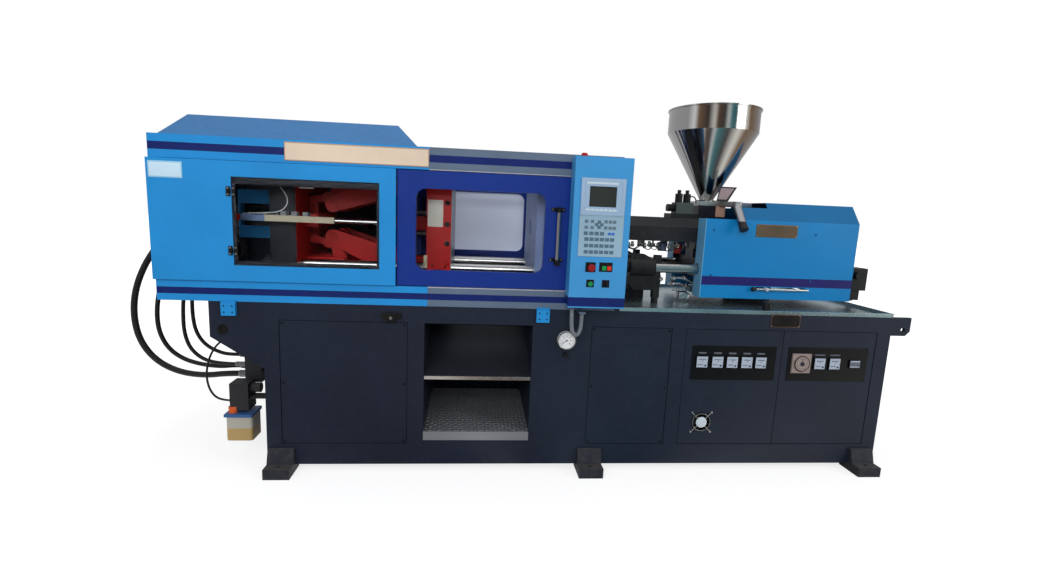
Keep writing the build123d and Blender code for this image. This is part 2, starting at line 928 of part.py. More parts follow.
def window_door():
    """Clear window with its two moving hinge leaves and a finger knob."""
    gap = window_gap
    y0 = -half_depth - clamp_panel_fold
    y1 = y0 + clamp_panel_sheet + window_pane
    pane = block(window_x[0] + gap, window_x[1] - gap, y0, y1, window_z[0] + gap, window_z[1] - gap)
    leaves = [hinge_leaf(z, 1) for z in window_hinge_z]
    knob_x = window_x[1] - landing * 2
    knob_z = (window_z[0] + window_z[1]) / 2
    knob = rod_y(knob_radius, y0 - knob_radius, y0, knob_x, knob_z)
    return group([pane, *leaves, knob])


def gate_sheet(window_xs, window_zs):
    """Sliding gate: folded sheet with stiffened edges, a rounded window and two grooves."""
    y0 = -half_depth + gate_setback
    y1 = y0 + gate_thick
    border = gate_border
    gate = block(*gate_x, y0, y1, *gate_z)
    pocket = block(gate_x[0] + border, gate_x[1] - border, y0 + gate_skin, y1,
                   gate_z[0] + border, gate_z[1] - border)
    rim_x = (window_xs[0] - border, window_xs[1] + border)
    rim_z = (window_zs[0] - border, window_zs[1] + border)
    gate -= pocket - rounded_opening(rim_x, rim_z, gate_corner + border, y0, y1)
    gate -= rounded_opening(window_xs, window_zs, gate_corner, y0, y1)
    track = -half_depth + track_in
    side = gate_setback / 4
    low_top = rail_lower + track_high + seat
    high_low = rail_upper - track_high - gate_setback
    gate -= block(*gate_x, track - side, track + track_wide + side, gate_z[0], low_top)
    gate -= block(*gate_x, track - side, track + track_wide + side, high_low, gate_z[1])
    return gate


def gate_handle():
    """Round bar between two blocks, bolted to the gate."""
    y0 = -half_depth + gate_setback
    half = handle_block / 2
    grip_y = y0 - handle_out + half
    pieces = []
    for z in handle_z:
        pieces.append(block(handle_x - half, handle_x + half, y0 - handle_out, y0, z - half, z + half))
    bar = rod_z(handle_rod, handle_z[0] - half, handle_z[1] + half, handle_x, grip_y)
    return merged([*pieces, bar])


def operator_gate():
    return group([gate_sheet(gate_window_x, gate_window_z), gate_handle()])


def rear_gate():
    return group([mirrored(gate_sheet(rear_window_x, rear_window_z)), mirrored(gate_handle())])


def operator_gate_pane():
    """Clear pane held behind the rim of the gate window."""
    border = gate_border
    y1 = -half_depth + gate_setback + gate_thick
    xs = (gate_window_x[0] - border / 2, gate_window_x[1] + border / 2)
    zs = (gate_window_z[0] - border / 2, gate_window_z[1] + border / 2)
    return rounded_opening(xs, zs, gate_corner, y1, y1 + gate_pane)


def button_holes():
    y0 = -cabinet_back - cabinet_deep
    places = [
        (button_left_x, button_high_z),
        (button_left_x, button_low_z),
        (button_right_x, button_low_z),
        (button_right_x - key_size, button_high_z),
        (button_right_x + key_size, button_high_z),
    ]
    return [rod_y(button_hole, y0 - cabinet_sheet, y0 + cabinet_sheet, x, z) for x, z in places]


def control_cabinet():
    """Sheet cabinet on the guard's right post, button rings, mounting frame and signal lamp."""
    y0 = -cabinet_back - cabinet_deep
    sheet = cabinet_sheet
    case = block(*cabinet_x, y0, -cabinet_back, *cabinet_z)
    case -= block(cabinet_x[0] + sheet, cabinet_x[1] - sheet, y0 + sheet, -cabinet_back,
                  cabinet_z[0] + sheet, cabinet_z[1] - sheet)
    mount = block(guard_right - rail_depth, guard_right, -cabinet_back, -half_depth, *cabinet_z)
    flange = block(*cabinet_x, -cabinet_back - sheet, -cabinet_back, *cabinet_z)
    flange -= block(cabinet_x[0] + landing, guard_right - rail_depth - landing, -cabinet_back - sheet,
                    -cabinet_back, cabinet_z[0] + landing, cabinet_z[1] - landing)
    case = merged([case, mount, flange])
    low_z, proud = button_low_z, sheet
    rings = [
        rod_y(button_ring, y0 - proud, y0, button_left_x, button_high_z),
        rod_y(button_ring, y0 - proud, y0, button_left_x, low_z),
        rod_y(button_ring, y0 - proud, y0, button_right_x, low_z),
        block(button_right_x - key_size * 2, button_right_x + key_size * 2, y0 - proud, y0,
              button_high_z - button_ring, button_high_z + button_ring),
    ]
    case = case.fuse(*rings)
    for hole in button_holes():
        case -= hole
    radius, high = lamp_size
    lamp = rod_z(radius, cabinet_z[1], cabinet_z[1] + high, *lamp_place)
    lamp = chamfer(lamp.faces().sort_by(Axis.Z)[-1].edges(), radius / 3)
    return group([case, lamp])


def keypad():
    """Operating panel: display bezel, membrane and its keys."""
    y1 = -cabinet_back - cabinet_deep
    y0 = y1 - keypad_proud
    bezel = block(keypad_x[0], keypad_x[1], y0, y1, keypad_split, keypad_z[1])
    bezel -= block(*screen_x, y0, y0 + screen_sink, *screen_z)
    membrane = block(keypad_x[0] - key_proud, keypad_x[1] - key_proud, y0 + key_proud, y1,
                     keypad_z[0], keypad_split)
    middle = (keypad_x[0] + keypad_x[1]) / 2
    half = key_size / 2
    keys = []

    def key(x, z, wide=half):
        keys.append(block(x - wide, x + wide, y0, y0 + key_proud, z - half, z + half))

    row = keypad_split - key_pitch * 0.6
    for i in range(8):
        key(middle + (i - 3.5) * key_pitch, row)
    for i in range(4):
        key(middle + (i - 3.5) * key_pitch, row - key_pitch * 6)
    for z_step in (1.4, 2.4, 3.4):
        for i in (0, 1, 6, 7):
            key(middle + (i - 3.5) * key_pitch, row - key_pitch * z_step)
    for angle in range(0, 360, 90):
        turn = math.radians(angle)
        key(middle + key_pitch * 0.8 * math.cos(turn) - key_pitch, row - key_pitch * (2.4 - 0.8 * math.sin(turn)))
    for z_step in (5.0, 6.9, 7.8):
        for i in range(6):
            key(middle + (i - 2.5) * key_pitch * 1.3, row - key_pitch * z_step)
    return group([bezel, membrane.fuse(*keys)])


def pushed_button(x, z, head_radius, head_long):
    """A push button: a stem through the cabinet front and its head."""
    y0 = -cabinet_back - cabinet_deep - cabinet_sheet
    stem = rod_y(button_hole - seat, y0 - button_travel, y0 + cabinet_sheet * 4, x, z)
    head = rod_y(head_radius, y0 - button_travel - head_long, y0 - button_travel, x, z)
    return stem.fuse(head)


def emergency_stop():
    body = pushed_button(button_left_x, button_high_z, stop_head, key_size)
    rim = body.edges().filter_by(GeomType.CIRCLE).sort_by(Axis.Y)[0]
    return chamfer(rim, key_size / 3)


def start_button():
    return pushed_button(button_right_x - key_size, button_high_z, button_hole, key_proud)


def stop_button():
    return pushed_button(button_right_x + key_size, button_high_z, button_hole, key_proud)


def cycle_button():
    return pushed_button(button_left_x, button_low_z, button_hole + key_proud, key_proud * 2)


def mode_switch():
    """Turning selector with a finger bar."""
    y0 = -cabinet_back - cabinet_deep - cabinet_sheet
    x, z = button_right_x, button_low_z
    stem = rod_y(button_hole - fit, y0 - key_proud, y0 + cabinet_sheet * 4, x, z)
    head = rod_y(button_hole + key_proud, y0 - key_proud * 2, y0 - fit, x, z)
    bar = block(x - key_proud * 2, x + key_proud * 2, y0 - key_size, y0 - key_proud, z - button_hole, z + button_hole)
    return merged([stem, head, bar])


def bar_places():
    return [(y, axis_z + z) for y in (-bar_y, bar_y) for z in (-bar_z, bar_z)]


def platen_blank(xs):
    """Square platen with bevelled corners and bored for the four tie bars."""
    half, cut = platen_half, platen_corner
    outline = []
    for y_sign, z_sign in ((1, 1), (-1, 1), (-1, -1), (1, -1)):
        corner_a = (y_sign * half, axis_z + z_sign * (half - cut))
        corner_b = (y_sign * (half - cut), axis_z + z_sign * half)
        outline += [corner_a, corner_b] if y_sign * z_sign > 0 else [corner_b, corner_a]
    blank = plate_yz(outline, *xs)
    for y, z in bar_places():
        blank -= rod_x(bar_radius + fit, *xs, y, z)
    return blank


def platen_foot(xs, base):
    low = axis_z - platen_half
    foot = block(*xs, way_half[0], way_half[1], base, low)
    return both_sides(foot)


def lug(pivot, face_x, root_half, eye, y0):
    """A toggle lug: a plate that tapers from a platen face to the eye round a pin."""
    toward = eye if pivot[0] > face_x else -eye
    outline = [
        (face_x, pivot[1] - root_half),
        (face_x, pivot[1] + min(root_half, platen_half - pivot_high)),
        (pivot[0], pivot[1] + eye),
        (pivot[0] + toward * 0.7, pivot[1]),
        (pivot[0], pivot[1] - eye),
    ]
    plate = plate_xz(outline, y0, y0 + link_plate)
    return plate.fuse(rod_y(eye, y0, y0 + link_plate, *pivot))


def lug_set(pivot, face_x, root_half, eye, planes, hole):
    lugs = []
    for plane in planes:
        one = lug(pivot, face_x, root_half, eye, plane) - rod_y(hole, plane, plane + link_plate, *pivot)
        for front in both_sides(one):
            lugs += [front, upside_down(front)]
    return lugs


def tail_platen():
    """Rear platen: tie bars end in it, the clamp cylinder pushes from its back and the
    rear links turn on its lugs. A pocket takes the ears of the crosshead when the mould
    is open. The two long pins are solids of their own."""
    pocket_y, pocket_z, deep = platen_pocket
    blank = platen_blank(tail_x) - rod_x(rod_hole, *tail_x, 0, axis_z)
    blank -= block(tail_x[1] - deep, tail_x[1], -pocket_y, pocket_y, axis_z - pocket_z, axis_z + pocket_z)
    for side in (-1, 1):
        blank -= rod_x(guide_radius + fit, tail_x[1] - landing * 2, tail_x[1], side * guide_y, axis_z)
    lugs = lug_set(tail_pivot, tail_x[1], tail_eye, tail_eye, (inner_plane, plane_c), pin_radius + fit)
    body = merged([blank, *platen_foot(tail_x, bed_top), *lugs])
    pin = rod_y(pin_radius, -pin_half, pin_half, *tail_pivot)
    return group([body, pin, upside_down(pin)])


def mould_holes(face_x, into):
    """Threaded holes round the middle of a platen for clamping a mould half."""
    holes = []
    for pitch in mould_pitches:
        for y in (-pitch / 2, pitch / 2):
            for z in (-pitch / 2, pitch / 2):
                x0, x1 = sorted((face_x, face_x + into * mould_hole_deep))
                holes.append(rod_x(mould_hole, x0, x1, y, axis_z + z))
    return holes


def moving_platen():
    """Moving platen on the tie bars: skids on the bed ways, lugs for the front links and
    the ejector cylinder on its back. Its link pins are shown by their ends on the outer lugs."""
    blank = platen_blank(moving_x)
    lugs = []
    for y0 in (plane_b, plane_d):
        for front in both_sides(lug(moving_pivot, moving_x[0], front_eye * 1.2, front_eye, y0)):
            lugs += [front, upside_down(front)]
    end = plane_d + link_plate
    stubs = []
    for front in both_sides(rod_y(pin_radius, end, end + slack, *moving_pivot)):
        stubs += [front, upside_down(front)]
    base = bed_top + way_high + seat
    body = merged([blank, *platen_foot(moving_x, base), *lugs, *stubs])
    bottom, top = axis_z - ejector_arm_half, axis_z + ejector_arm_half
    arms = both_sides(block(ejector_bridge[0], moving_x[0], *ejector_arm, bottom, top))
    bridge = block(*ejector_bridge, -ejector_arm[1], ejector_arm[1], bottom, top)
    cylinder = rod_x(ejector_cylinder, ejector_cylinder_end, ejector_bridge[0], 0, axis_z)
    body = body.fuse(*arms, bridge, cylinder)
    body -= rod_x(ejector_rod + fit, ejector_cylinder_end + slack, ejector_bridge[1], 0, axis_z)
    for z in (-ejector_pitch, ejector_pitch):
        body -= rod_x(ejector_rod + fit, *moving_x, 0, axis_z + z)
    for hole in mould_holes(moving_x[1], -1):
        body -= hole
    return body


def ejector():
    """Ejector plate between the arms of its cylinder, with the rods that pass through the platen."""
    half = ejector_pitch + ejector_plate
    x1 = ejector_rest
    plate = block(x1 - ejector_plate, x1, -ejector_half_y, ejector_half_y, axis_z - half, axis_z + half)
    back = x1 - ejector_plate / 2
    rods = [rod_x(ejector_rod, ejector_cylinder_end + slack * 2, back, 0, axis_z)]
    for z in (-ejector_pitch, ejector_pitch):
        rods.append(rod_x(ejector_rod, back, moving_x[1] - seat, 0, axis_z + z))
    return merged([plate, *rods])


def stationary_platen():
    """Fixed platen with the locating bore, the way for the nozzle and the mould holes."""
    blank = merged([platen_blank(fixed_x), *platen_foot(fixed_x, bed_top)])
    blank -= rod_x(ring_bore, fixed_x[0], fixed_x[0] + ring_deep, 0, axis_z)
    blank -= rod_x(nozzle_way, *fixed_x, 0, axis_z)
    deep = fixed_x[1] - fixed_x[0] - ring_deep * 1.6
    cone = Cone(nozzle_way, nozzle_cone, deep)
    blank -= Pos(fixed_x[1] - deep / 2, 0, axis_z) * Rot(0, 90, 0) * cone
    for hole in mould_holes(fixed_x[0], 1):
        blank -= hole
    return blank


def tie_bars():
    """Four ground tie bars with a round nut at each end."""
    pieces = []
    x0 = tail_x[0] - bar_end
    x1 = fixed_x[1] + bar_end
    for y, z in bar_places():
        pieces.append(rod_x(bar_radius, x0, x1, y, z))
        for start in (tail_x[0] - nut_long, fixed_x[1]):
            ring = rod_x(nut_radius, start, start + nut_long, y, z)
            pieces.append(ring - rod_x(bar_radius + fit, start, start + nut_long, y, z))
    return group(pieces)


def link_outline(a, b, eye_a, eye_b, belly, y0):
    """Link plate between two eyes, wider in the middle."""
    angle = math.atan2(b[1] - a[1], b[0] - a[0])
    side = (-math.sin(angle), math.cos(angle))
    middle = ((a[0] + b[0]) / 2, (a[1] + b[1]) / 2)

    def off(point, amount):
        return (point[0] + side[0] * amount, point[1] + side[1] * amount)

    outline = [off(a, eye_a), off(middle, belly), off(b, eye_b), off(b, -eye_b), off(middle, -belly), off(a, -eye_a)]
    plate = plate_xz(outline, y0, y0 + link_plate)
    return merged([plate, rod_y(eye_a, y0, y0 + link_plate, *a), rod_y(eye_b, y0, y0 + link_plate, *b)])


def rear_link():
    """Rear link: two three-eyed plates, the rod that ties them, the knee pin and the arm pin."""
    centroid = ((tail_pivot[0] + knee[0]) / 2, (tail_pivot[1] + knee[1]) / 2)
    plates = []
    for y0 in (plane_b, -plane_b - link_plate):
        plate = link_outline(tail_pivot, knee, tail_eye * 0.8, knee_eye * 0.9, tail_eye * 0.7, y0)
        web = plate_xz([tail_pivot, knee, arm_pivot], y0, y0 + link_plate)
        plate = merged([plate, web, rod_y(arm_eye, y0, y0 + link_plate, *arm_pivot)])
        for point, radius in ((tail_pivot, pin_radius), (knee, pin_radius), (arm_pivot, small_pin)):
            plate -= rod_y(radius + fit, y0, y0 + link_plate, *point)
        plates.append(plate)
    tie = rod_y(tie_rod, -plane_b - link_plate / 2, plane_b + link_plate / 2, *centroid)
    body = merged([*plates, tie])
    knee_pin = rod_y(pin_radius, -pin_half, pin_half, *knee)
    arm_pins = both_sides(rod_y(small_pin, inner_plane - slack, plane_b + link_plate, *arm_pivot))
    return group([body, knee_pin, *arm_pins])


def front_link():
    """Front link: two wide plates joined by a cross tube. The plug in its platen eye stands
    for the pin, which is open there."""
    plates = []
    for y0 in (plane_c, -plane_c - link_plate):
        plate = link_outline(knee, moving_pivot, knee_eye, front_eye, front_link_belly, y0)
        plates.append(plate - rod_y(pin_radius + fit, y0, y0 + link_plate, *knee))
    middle = ((knee[0] + moving_pivot[0]) / 2, (knee[1] + moving_pivot[1]) / 2)
    tube = rod_y(tie_rod * 2, -plane_c, plane_c, *middle)
    return merged([*plates, tube])


def crosshead_link():
    """Short link between the crosshead ear and the arm of the rear link."""
    plates = []
    for y0 in (inner_plane, -inner_plane - link_plate):
        plate = link_outline(ear_pivot, arm_pivot, ear_eye * 0.85, arm_eye * 0.85, ear_eye * 0.7, y0)
        plates.append(plate - rod_y(small_pin + fit, y0, y0 + link_plate, *arm_pivot))
    return group(plates)


def crosshead():
    """Crosshead beam on its guide rods, ears for the short links, and the piston rod."""
    x0 = ear_pivot[0] + beam_shift - beam_long / 2
    x1 = ear_pivot[0] + beam_shift + beam_long / 2
    beam = block(x0, x1, -beam_half_y, beam_half_y, axis_z - beam_half_z, axis_z + beam_half_z)
    ears = []
    for sign in (-1, 1):
        centre = (ear_pivot[0], axis_z + sign * ear_high)
        web = block(ear_pivot[0] - ear_eye, ear_pivot[0] + ear_eye, -ear_half_y, ear_half_y,
                    *sorted((axis_z, centre[1])))
        ears += [web, rod_y(ear_eye, -ear_half_y, ear_half_y, *centre)]
    body = merged([beam, *ears])
    slot = block(x0, (x0 + x1) / 2 + beam_slot_past, inner_plane - beam_slot_side,
                 inner_plane + link_plate + beam_slot_side, axis_z + beam_slot_z, axis_z + beam_half_z)
    for cut in both_sides(slot):
        body = body - cut - upside_down(cut)
    for side in (-1, 1):
        body -= rod_x(guide_radius + fit, x0, x1, side * guide_y, axis_z)
    rod_end = cylinder_end + cylinder_cap + slack + piston_long
    rod = rod_x(rod_radius, rod_end, x0, 0, axis_z)
    piston = rod_x(cylinder_bore - fit, rod_end - piston_long, rod_end, 0, axis_z)
    return group([body, rod.fuse(piston)])


def clamp_cylinder():
    """Double acting cylinder on the back of the tail platen, carried by four blue arms."""
    tube = rod_x(cylinder_radius, cylinder_end, tail_x[0], 0, axis_z)
    tube -= rod_x(cylinder_bore, cylinder_end + cylinder_cap, tail_x[0] - cylinder_cap, 0, axis_z)
    tube -= rod_x(rod_radius + fit, tail_x[0] - cylinder_cap, tail_x[0], 0, axis_z)
    ports = []
    for x in (cylinder_end + cylinder_cap * 1.4, tail_x[0] - cylinder_cap * 2):
        ports.append(rod_z(port_radius, axis_z + cylinder_radius - slack, axis_z + cylinder_radius + port_radius, x, 0))
    tube = tube.fuse(*ports)
    arms = []
    for low, high in (arm_upper, arm_lower):
        arms += both_sides(block(arm_end, tail_x[0], *arm_y, axis_z + low, axis_z + high))
    plate = block(arm_end - arm_plate, arm_end, -arm_y[1], arm_y[1], axis_z + arm_lower[0], axis_z + arm_upper[1])
    plate -= rod_x(cylinder_radius + fit, arm_end - arm_plate, arm_end, 0, axis_z)
    return group([tube, merged([plate, *arms])])


def guide_rods():
    """Ground guide rods: two for the crosshead with their end plate, two for the carriage."""
    pieces = []
    for side in (-1, 1):
        pieces.append(rod_x(guide_radius, tail_x[1] - landing * 2, guide_front, side * guide_y, axis_z))
        pieces.append(rod_x(carriage_rod, bracket_x[0], support_x[1], side * carriage_y, carriage_z))
    plate = block(guide_front - guide_plate, guide_front, -beam_half_y, beam_half_y,
                  axis_z - beam_half_z, axis_z + beam_half_z)
    for side in (-1, 1):
        plate -= rod_x(guide_radius + fit, guide_front - guide_plate, guide_front, side * guide_y, axis_z)
    return group([*pieces, plate])


def position_rail():
    """Linear position sensor of the moving platen on two struts from the tail platen."""
    y0 = position_y - position_thick / 2
    y1 = position_y + position_thick / 2
    half = position_high / 2
    rail = block(*position_x, y0, y1, position_z - half, position_z + half)
    struts = []
    for x in (tail_x[0] + landing, tail_x[1] - landing):
        struts.append(block(x - position_thick / 2, x + position_thick / 2, y1, -platen_half,
                            position_z - half, position_z + half))
    return merged([rail, *struts])


def carriage_brackets():
    """Front bracket of the injection unit with its pull cylinder, and the rear support."""
    floor = bed_top + tray_sheet
    x0, x1 = bracket_x
    pieces = []
    edge = x1 - bracket_flange
    nose = bracket_nose
    outline = [
        (x0, bracket_low + nose),
        (x0 + nose, bracket_low),
        (edge, bracket_low),
        (edge, bracket_low - bracket_drop),
        (x1, bracket_low - bracket_drop),
        (x1, bracket_high - slack),
        (edge, bracket_high - slack),
        (edge, bracket_high - nose),
        (edge - nose * 2, bracket_high),
        (x0 + nose, bracket_high),
        (x0, bracket_high - nose * 1.5),
    ]
    for side in both_sides(plate_xz(outline, carriage_y - bracket_web / 2, carriage_y + bracket_web / 2)):
        pieces.append(side)
    for side in (-1, 1):
        pieces.append(rod_x(carriage_boss, x0, edge, side * carriage_y, carriage_z))
        pieces.append(rod_x(carriage_boss * 0.6, x0 - nose, x0, side * carriage_y, carriage_z))
        pieces.append(rod_z(bracket_foot, floor, bracket_low - bracket_drop, x1 - bracket_flange / 2, side * carriage_y))
    web = block(x0, x0 + bracket_web, -carriage_y, carriage_y, bracket_low, carriage_z + carriage_boss * 0.6)
    web -= rod_x(carriage_boss, x0, x0 + bracket_web, 0, carriage_z + carriage_boss / 2)
    keel = block(x0, edge, -bracket_keel, bracket_keel, floor, bracket_low + bracket_web)
    front = merged([*pieces, web, keel])
    pull = rod_x(carriage_boss * 0.8, x0 + bracket_web, x1 + bracket_web * 2, 0, floor + carriage_boss * 2.2)
    front = front.fuse(pull)
    for side in (-1, 1):
        front -= rod_x(carriage_rod + fit, x0, x1, side * carriage_y, carriage_z)
    half = carriage_y + carriage_boss
    rear = block(*support_x, -half, half, floor, carriage_z + carriage_boss)
    rear -= block(*support_x, -carriage_y + carriage_boss, carriage_y - carriage_boss,
                  floor + bracket_web, carriage_z + carriage_boss)
    for side in (-1, 1):
        rear -= rod_x(carriage_rod + fit, *support_x, side * carriage_y, carriage_z)
    return group([front, rear])


def throat_block():
    """Feed throat of the carriage with its saddle on the rods and two injection cylinders."""
    half = throat_half_y
    body = block(*throat_x, -half, half, throat_low, hopper_plate_z)
    inner = cover_half_y - cover_sheet
    saddle = block(*throat_x, -inner, inner, *saddle_z)
    neck = block(throat_x[0], throat_x[1], -half * 0.7, half * 0.7, saddle_z[1], throat_low)
    wings = block(throat_x[1] - bracket_web, throat_x[1], -ram_y - ram_cylinder, ram_y + ram_cylinder,
                  axis_z - ram_cylinder, axis_z + ram_cylinder)
    cylinders = [rod_x(ram_cylinder, throat_x[1] - slack, ram_cylinder_end, side * ram_y, axis_z) for side in (-1, 1)]
    body = merged([body, saddle, neck, wings, *cylinders])
    body -= rod_x(barrel_radius + fit, *throat_x, 0, axis_z)
    body -= rod_z(feed_hole, axis_z, hopper_plate_z, hopper_x, 0)
    for side in (-1, 1):
        body -= rod_x(carriage_rod + fit, *throat_x, side * carriage_y, carriage_z)
        body -= rod_x(ram_radius + fit, throat_x[1] + slack, ram_cylinder_end, side * ram_y, axis_z)
    return body


def barrel():
    """Heated barrel with its nozzle and the heater bands clamped round it."""
    bore = barrel_bore
    profile = [
        (throat_x[1], bore),
        (throat_x[1], barrel_radius),
        (barrel_left, barrel_radius),
        (barrel_left, nozzle_radius),
        (nozzle_tip + nozzle_radius, nozzle_radius),
        (nozzle_tip, nozzle_point),
        (nozzle_tip, nozzle_point / 4),
        (barrel_left - nozzle_radius, nozzle_point / 4),
        (barrel_left, bore),
    ]
    face = make_face(Polyline(*profile, close=True))
    tube = revolve(Plane.XZ * face, Axis.X)
    tube = Pos(0, 0, axis_z) * tube
    tube -= rod_z(feed_hole * 0.6, axis_z, axis_z + barrel_radius, hopper_x, 0)
    bands = []
    for i in range(band_count):
        x0 = band_first + i * band_pitch
        outer = rod_x(barrel_radius + band_thick, x0, x0 + band_long, 0, axis_z)
        long, wide, high = terminal_size
        centre = x0 + band_long / 2
        low = axis_z - barrel_radius - band_thick
        terminal = block(centre - long / 2, centre + long / 2, -wide / 2, wide / 2, low - high, low + slack)
        bands.append(outer.fuse(terminal) - rod_x(barrel_radius + fit, x0, x0 + band_long, 0, axis_z))
    return group([tube, *bands])


def screw():
    """Reciprocating screw: shank, feed length with rings for its flight, and the tip."""
    tip = barrel_left + slack
    end = throat_x[1] + slack
    shank = rod_x(screw_radius, end - bracket_web * 2, thrust_x[1] + slack, 0, axis_z)
    root = rod_x(screw_root, tip + screw_radius, end - bracket_web * 2, 0, axis_z)
    flights = []
    pitch = screw_radius * 2
    for i in range(1, int((end - bracket_web * 2 - tip) / pitch)):
        x = tip + i * pitch
        flights.append(rod_x(screw_radius, x, x + slack, 0, axis_z))
    nose = Pos(tip + screw_radius / 2 + slack, 0, axis_z) * Rot(0, -90, 0) * Cone(screw_root, slack, screw_radius + slack)
    return merged([shank, root, nose, *flights])


def push_plate():
    """Thrust plate behind the screw with its two rams, and the motor that turns the screw."""
    half_y, half_z = thrust_half_y, thrust_half_z
    plate = block(*thrust_x, -half_y, half_y, axis_z - half_z, axis_z + half_z)
    rams = []
    for side in (-1, 1):
        rams.append(rod_x(ram_radius, ram_cylinder_end - screw_stroke - slack, thrust_x[0] + slack, side * ram_y, axis_z))
    plate = plate.fuse(*rams) - rod_x(screw_radius + fit, thrust_x[0], thrust_x[1], 0, axis_z)
    motor = rod_x(motor_radius, thrust_x[1], thrust_x[1] + motor_long, 0, axis_z)
    motor -= rod_x(screw_radius + fit, thrust_x[1], thrust_x[1] + slack * 2, 0, axis_z)
    ports = []
    for side in (-1, 1):
        y = side * motor_radius / 2
        ports.append(rod_z(motor_port, axis_z + motor_radius / 2, axis_z + motor_radius + motor_port,
                           thrust_x[1] + motor_long * 0.7, y))
    return group([plate, motor.fuse(*ports)])


def stroke_pointer():
    """Rod with a ball end outside the cover that shows how far the screw has gone back."""
    z = (slot_z[0] + slot_z[1]) / 2
    rod = rod_x(pointer_rod, pointer_x[0], pointer_x[1], -pointer_y, z)
    ball = Pos(pointer_x[0], -pointer_y, z) * Sphere(pointer_ball)
    wide = pointer_arm_wide / 2
    inner = cover_half_y - cover_sheet - slack
    out = block(pointer_arm - wide, pointer_arm + wide, -pointer_y, -inner + pointer_rod, z - pointer_rod, z + pointer_rod)
    strap = block(pointer_arm - wide, pointer_arm + wide, -inner, -inner + pointer_rod, z - pointer_rod, axis_z)
    reach = block(pointer_arm - wide, thrust_x[0] + seat, -inner, -inner + pointer_rod,
                  axis_z - pointer_arm_wide, axis_z + pointer_arm_wide)
    lap = block(thrust_x[0], thrust_x[1], -inner, -thrust_half_y, axis_z - pointer_arm_wide, axis_z + pointer_arm_wide)
    return merged([rod, ball, out, strap, reach, lap])


def cover_outline(half, side_top, top_half, low, high):
    return [(-half, low), (-half, side_top), (-top_half, high), (top_half, high), (half, side_top), (half, low)]


def injection_cover():
    """Folded sheet cover over the push plate and screw motor, open below and at the barrel."""
    low, high = cover_z
    sheet = cover_sheet
    outer = plate_yz(cover_outline(cover_half_y, cover_side_top, cover_top_half, low, high), *cover_x)
    inner = cover_outline(cover_half_y - sheet, cover_side_top - sheet / 2, cover_top_half - sheet / 2, low, high - sheet)
    cover = outer - plate_yz(inner, cover_x[0] + sheet, cover_x[1] - sheet)
    cover -= block(cover_x[0], cover_notch, -cover_half_y, cover_half_y, cover_side_top, high)
    cover -= block(cover_x[0], hopper_plate_x[1] + landing, -cover_half_y, cover_half_y, hopper_plate_z - slack, high)
    cover -= block(cover_x[0], cover_x[0] + sheet, -cover_mouth, cover_mouth, low, high)
    for side in (-1, 1):
        cover -= rod_x(carriage_rod + slack, cover_x[0], cover_x[0] + sheet, side * carriage_y, carriage_z)
    slot = (pointer_x[0] + slot_end, pointer_x[1] - slot_end)
    cover -= block(*slot, -cover_half_y, -cover_half_y + sheet, *slot_z)
    return cover


def barrel_cover():
    """Black channel over the heated barrel, open below, with an end plate on the throat."""
    low, high = barrel_cover_z
    half, top = barrel_cover_half, barrel_cover_top
    sheet = cover_sheet
    x0, x1 = barrel_cover_x
    outer = plate_yz(cover_outline(half, barrel_cover_side, top, low, high), x0, x1)
    inner = cover_outline(half - sheet, barrel_cover_side - sheet / 2, top - sheet / 2, low, high - sheet)
    cover = outer - plate_yz(inner, x0, x1 - sheet)
    return cover - rod_x(barrel_radius + band_thick, x1 - sheet, x1, 0, axis_z)


def valve_stack():
    """Hydraulic valves on the barrel cover, and the valve block behind the injection cover."""
    base = barrel_cover_z[1]
    x0 = valve_left
    long, thick = valve_plate
    body_low = base + thick
    body_high = body_low + valve_body_high
    y = sum(valve_body_y) / 2
    plate = block(x0, x0 + long, -barrel_cover_top + slack, 0, base, body_low)
    body = block(x0 + valve_body_x[0], x0 + valve_body_x[1], *valve_body_y, body_low, body_high)
    coils = []
    for at in coil_ats:
        coils.append(rod_z(coil_radius, body_high, body_high + coil_high, x0 + at, y))
        coils.append(rod_z(coil_cap[0], body_high + coil_high, body_high + coil_high + coil_cap[1], x0 + at, y))
    middle = (body_low + body_high) / 2
    side_coil = rod_x(coil_radius, x0 + valve_body_x[0] - coil_out, x0 + valve_body_x[0], y, middle)
    return group([merged([plate, body, *coils, side_coil]), rear_valve()])


def rear_valve():
    """Valve block on the end wall of the injection cover, with its drain pipe."""
    wall = cover_x[1]
    y0, y1 = rear_valve_y
    z0, z1 = rear_valve_z
    inset = rear_valve_in
    neck_end = wall + rear_valve_neck
    neck = block(wall, neck_end, y0 + inset, y1 - inset, z0 + inset, z1 - inset)
    body = block(neck_end, wall + rear_valve_long, y0, y1, z0, z1)
    lower = block(neck_end + inset, wall + rear_valve_long - inset * 2, y0 + inset, y1 - inset, rear_valve_low, z0)
    pipe = rod_z(rear_valve_pipe, rear_valve_low - inset, rear_valve_low, neck_end + inset * 3, (y0 + y1) / 2)
    spool = rod_y(coil_radius, y0 - rear_valve_neck, y0, neck_end + rear_valve_neck * 2, z1 - inset * 3)
    return merged([neck, body, lower, pipe, spool])


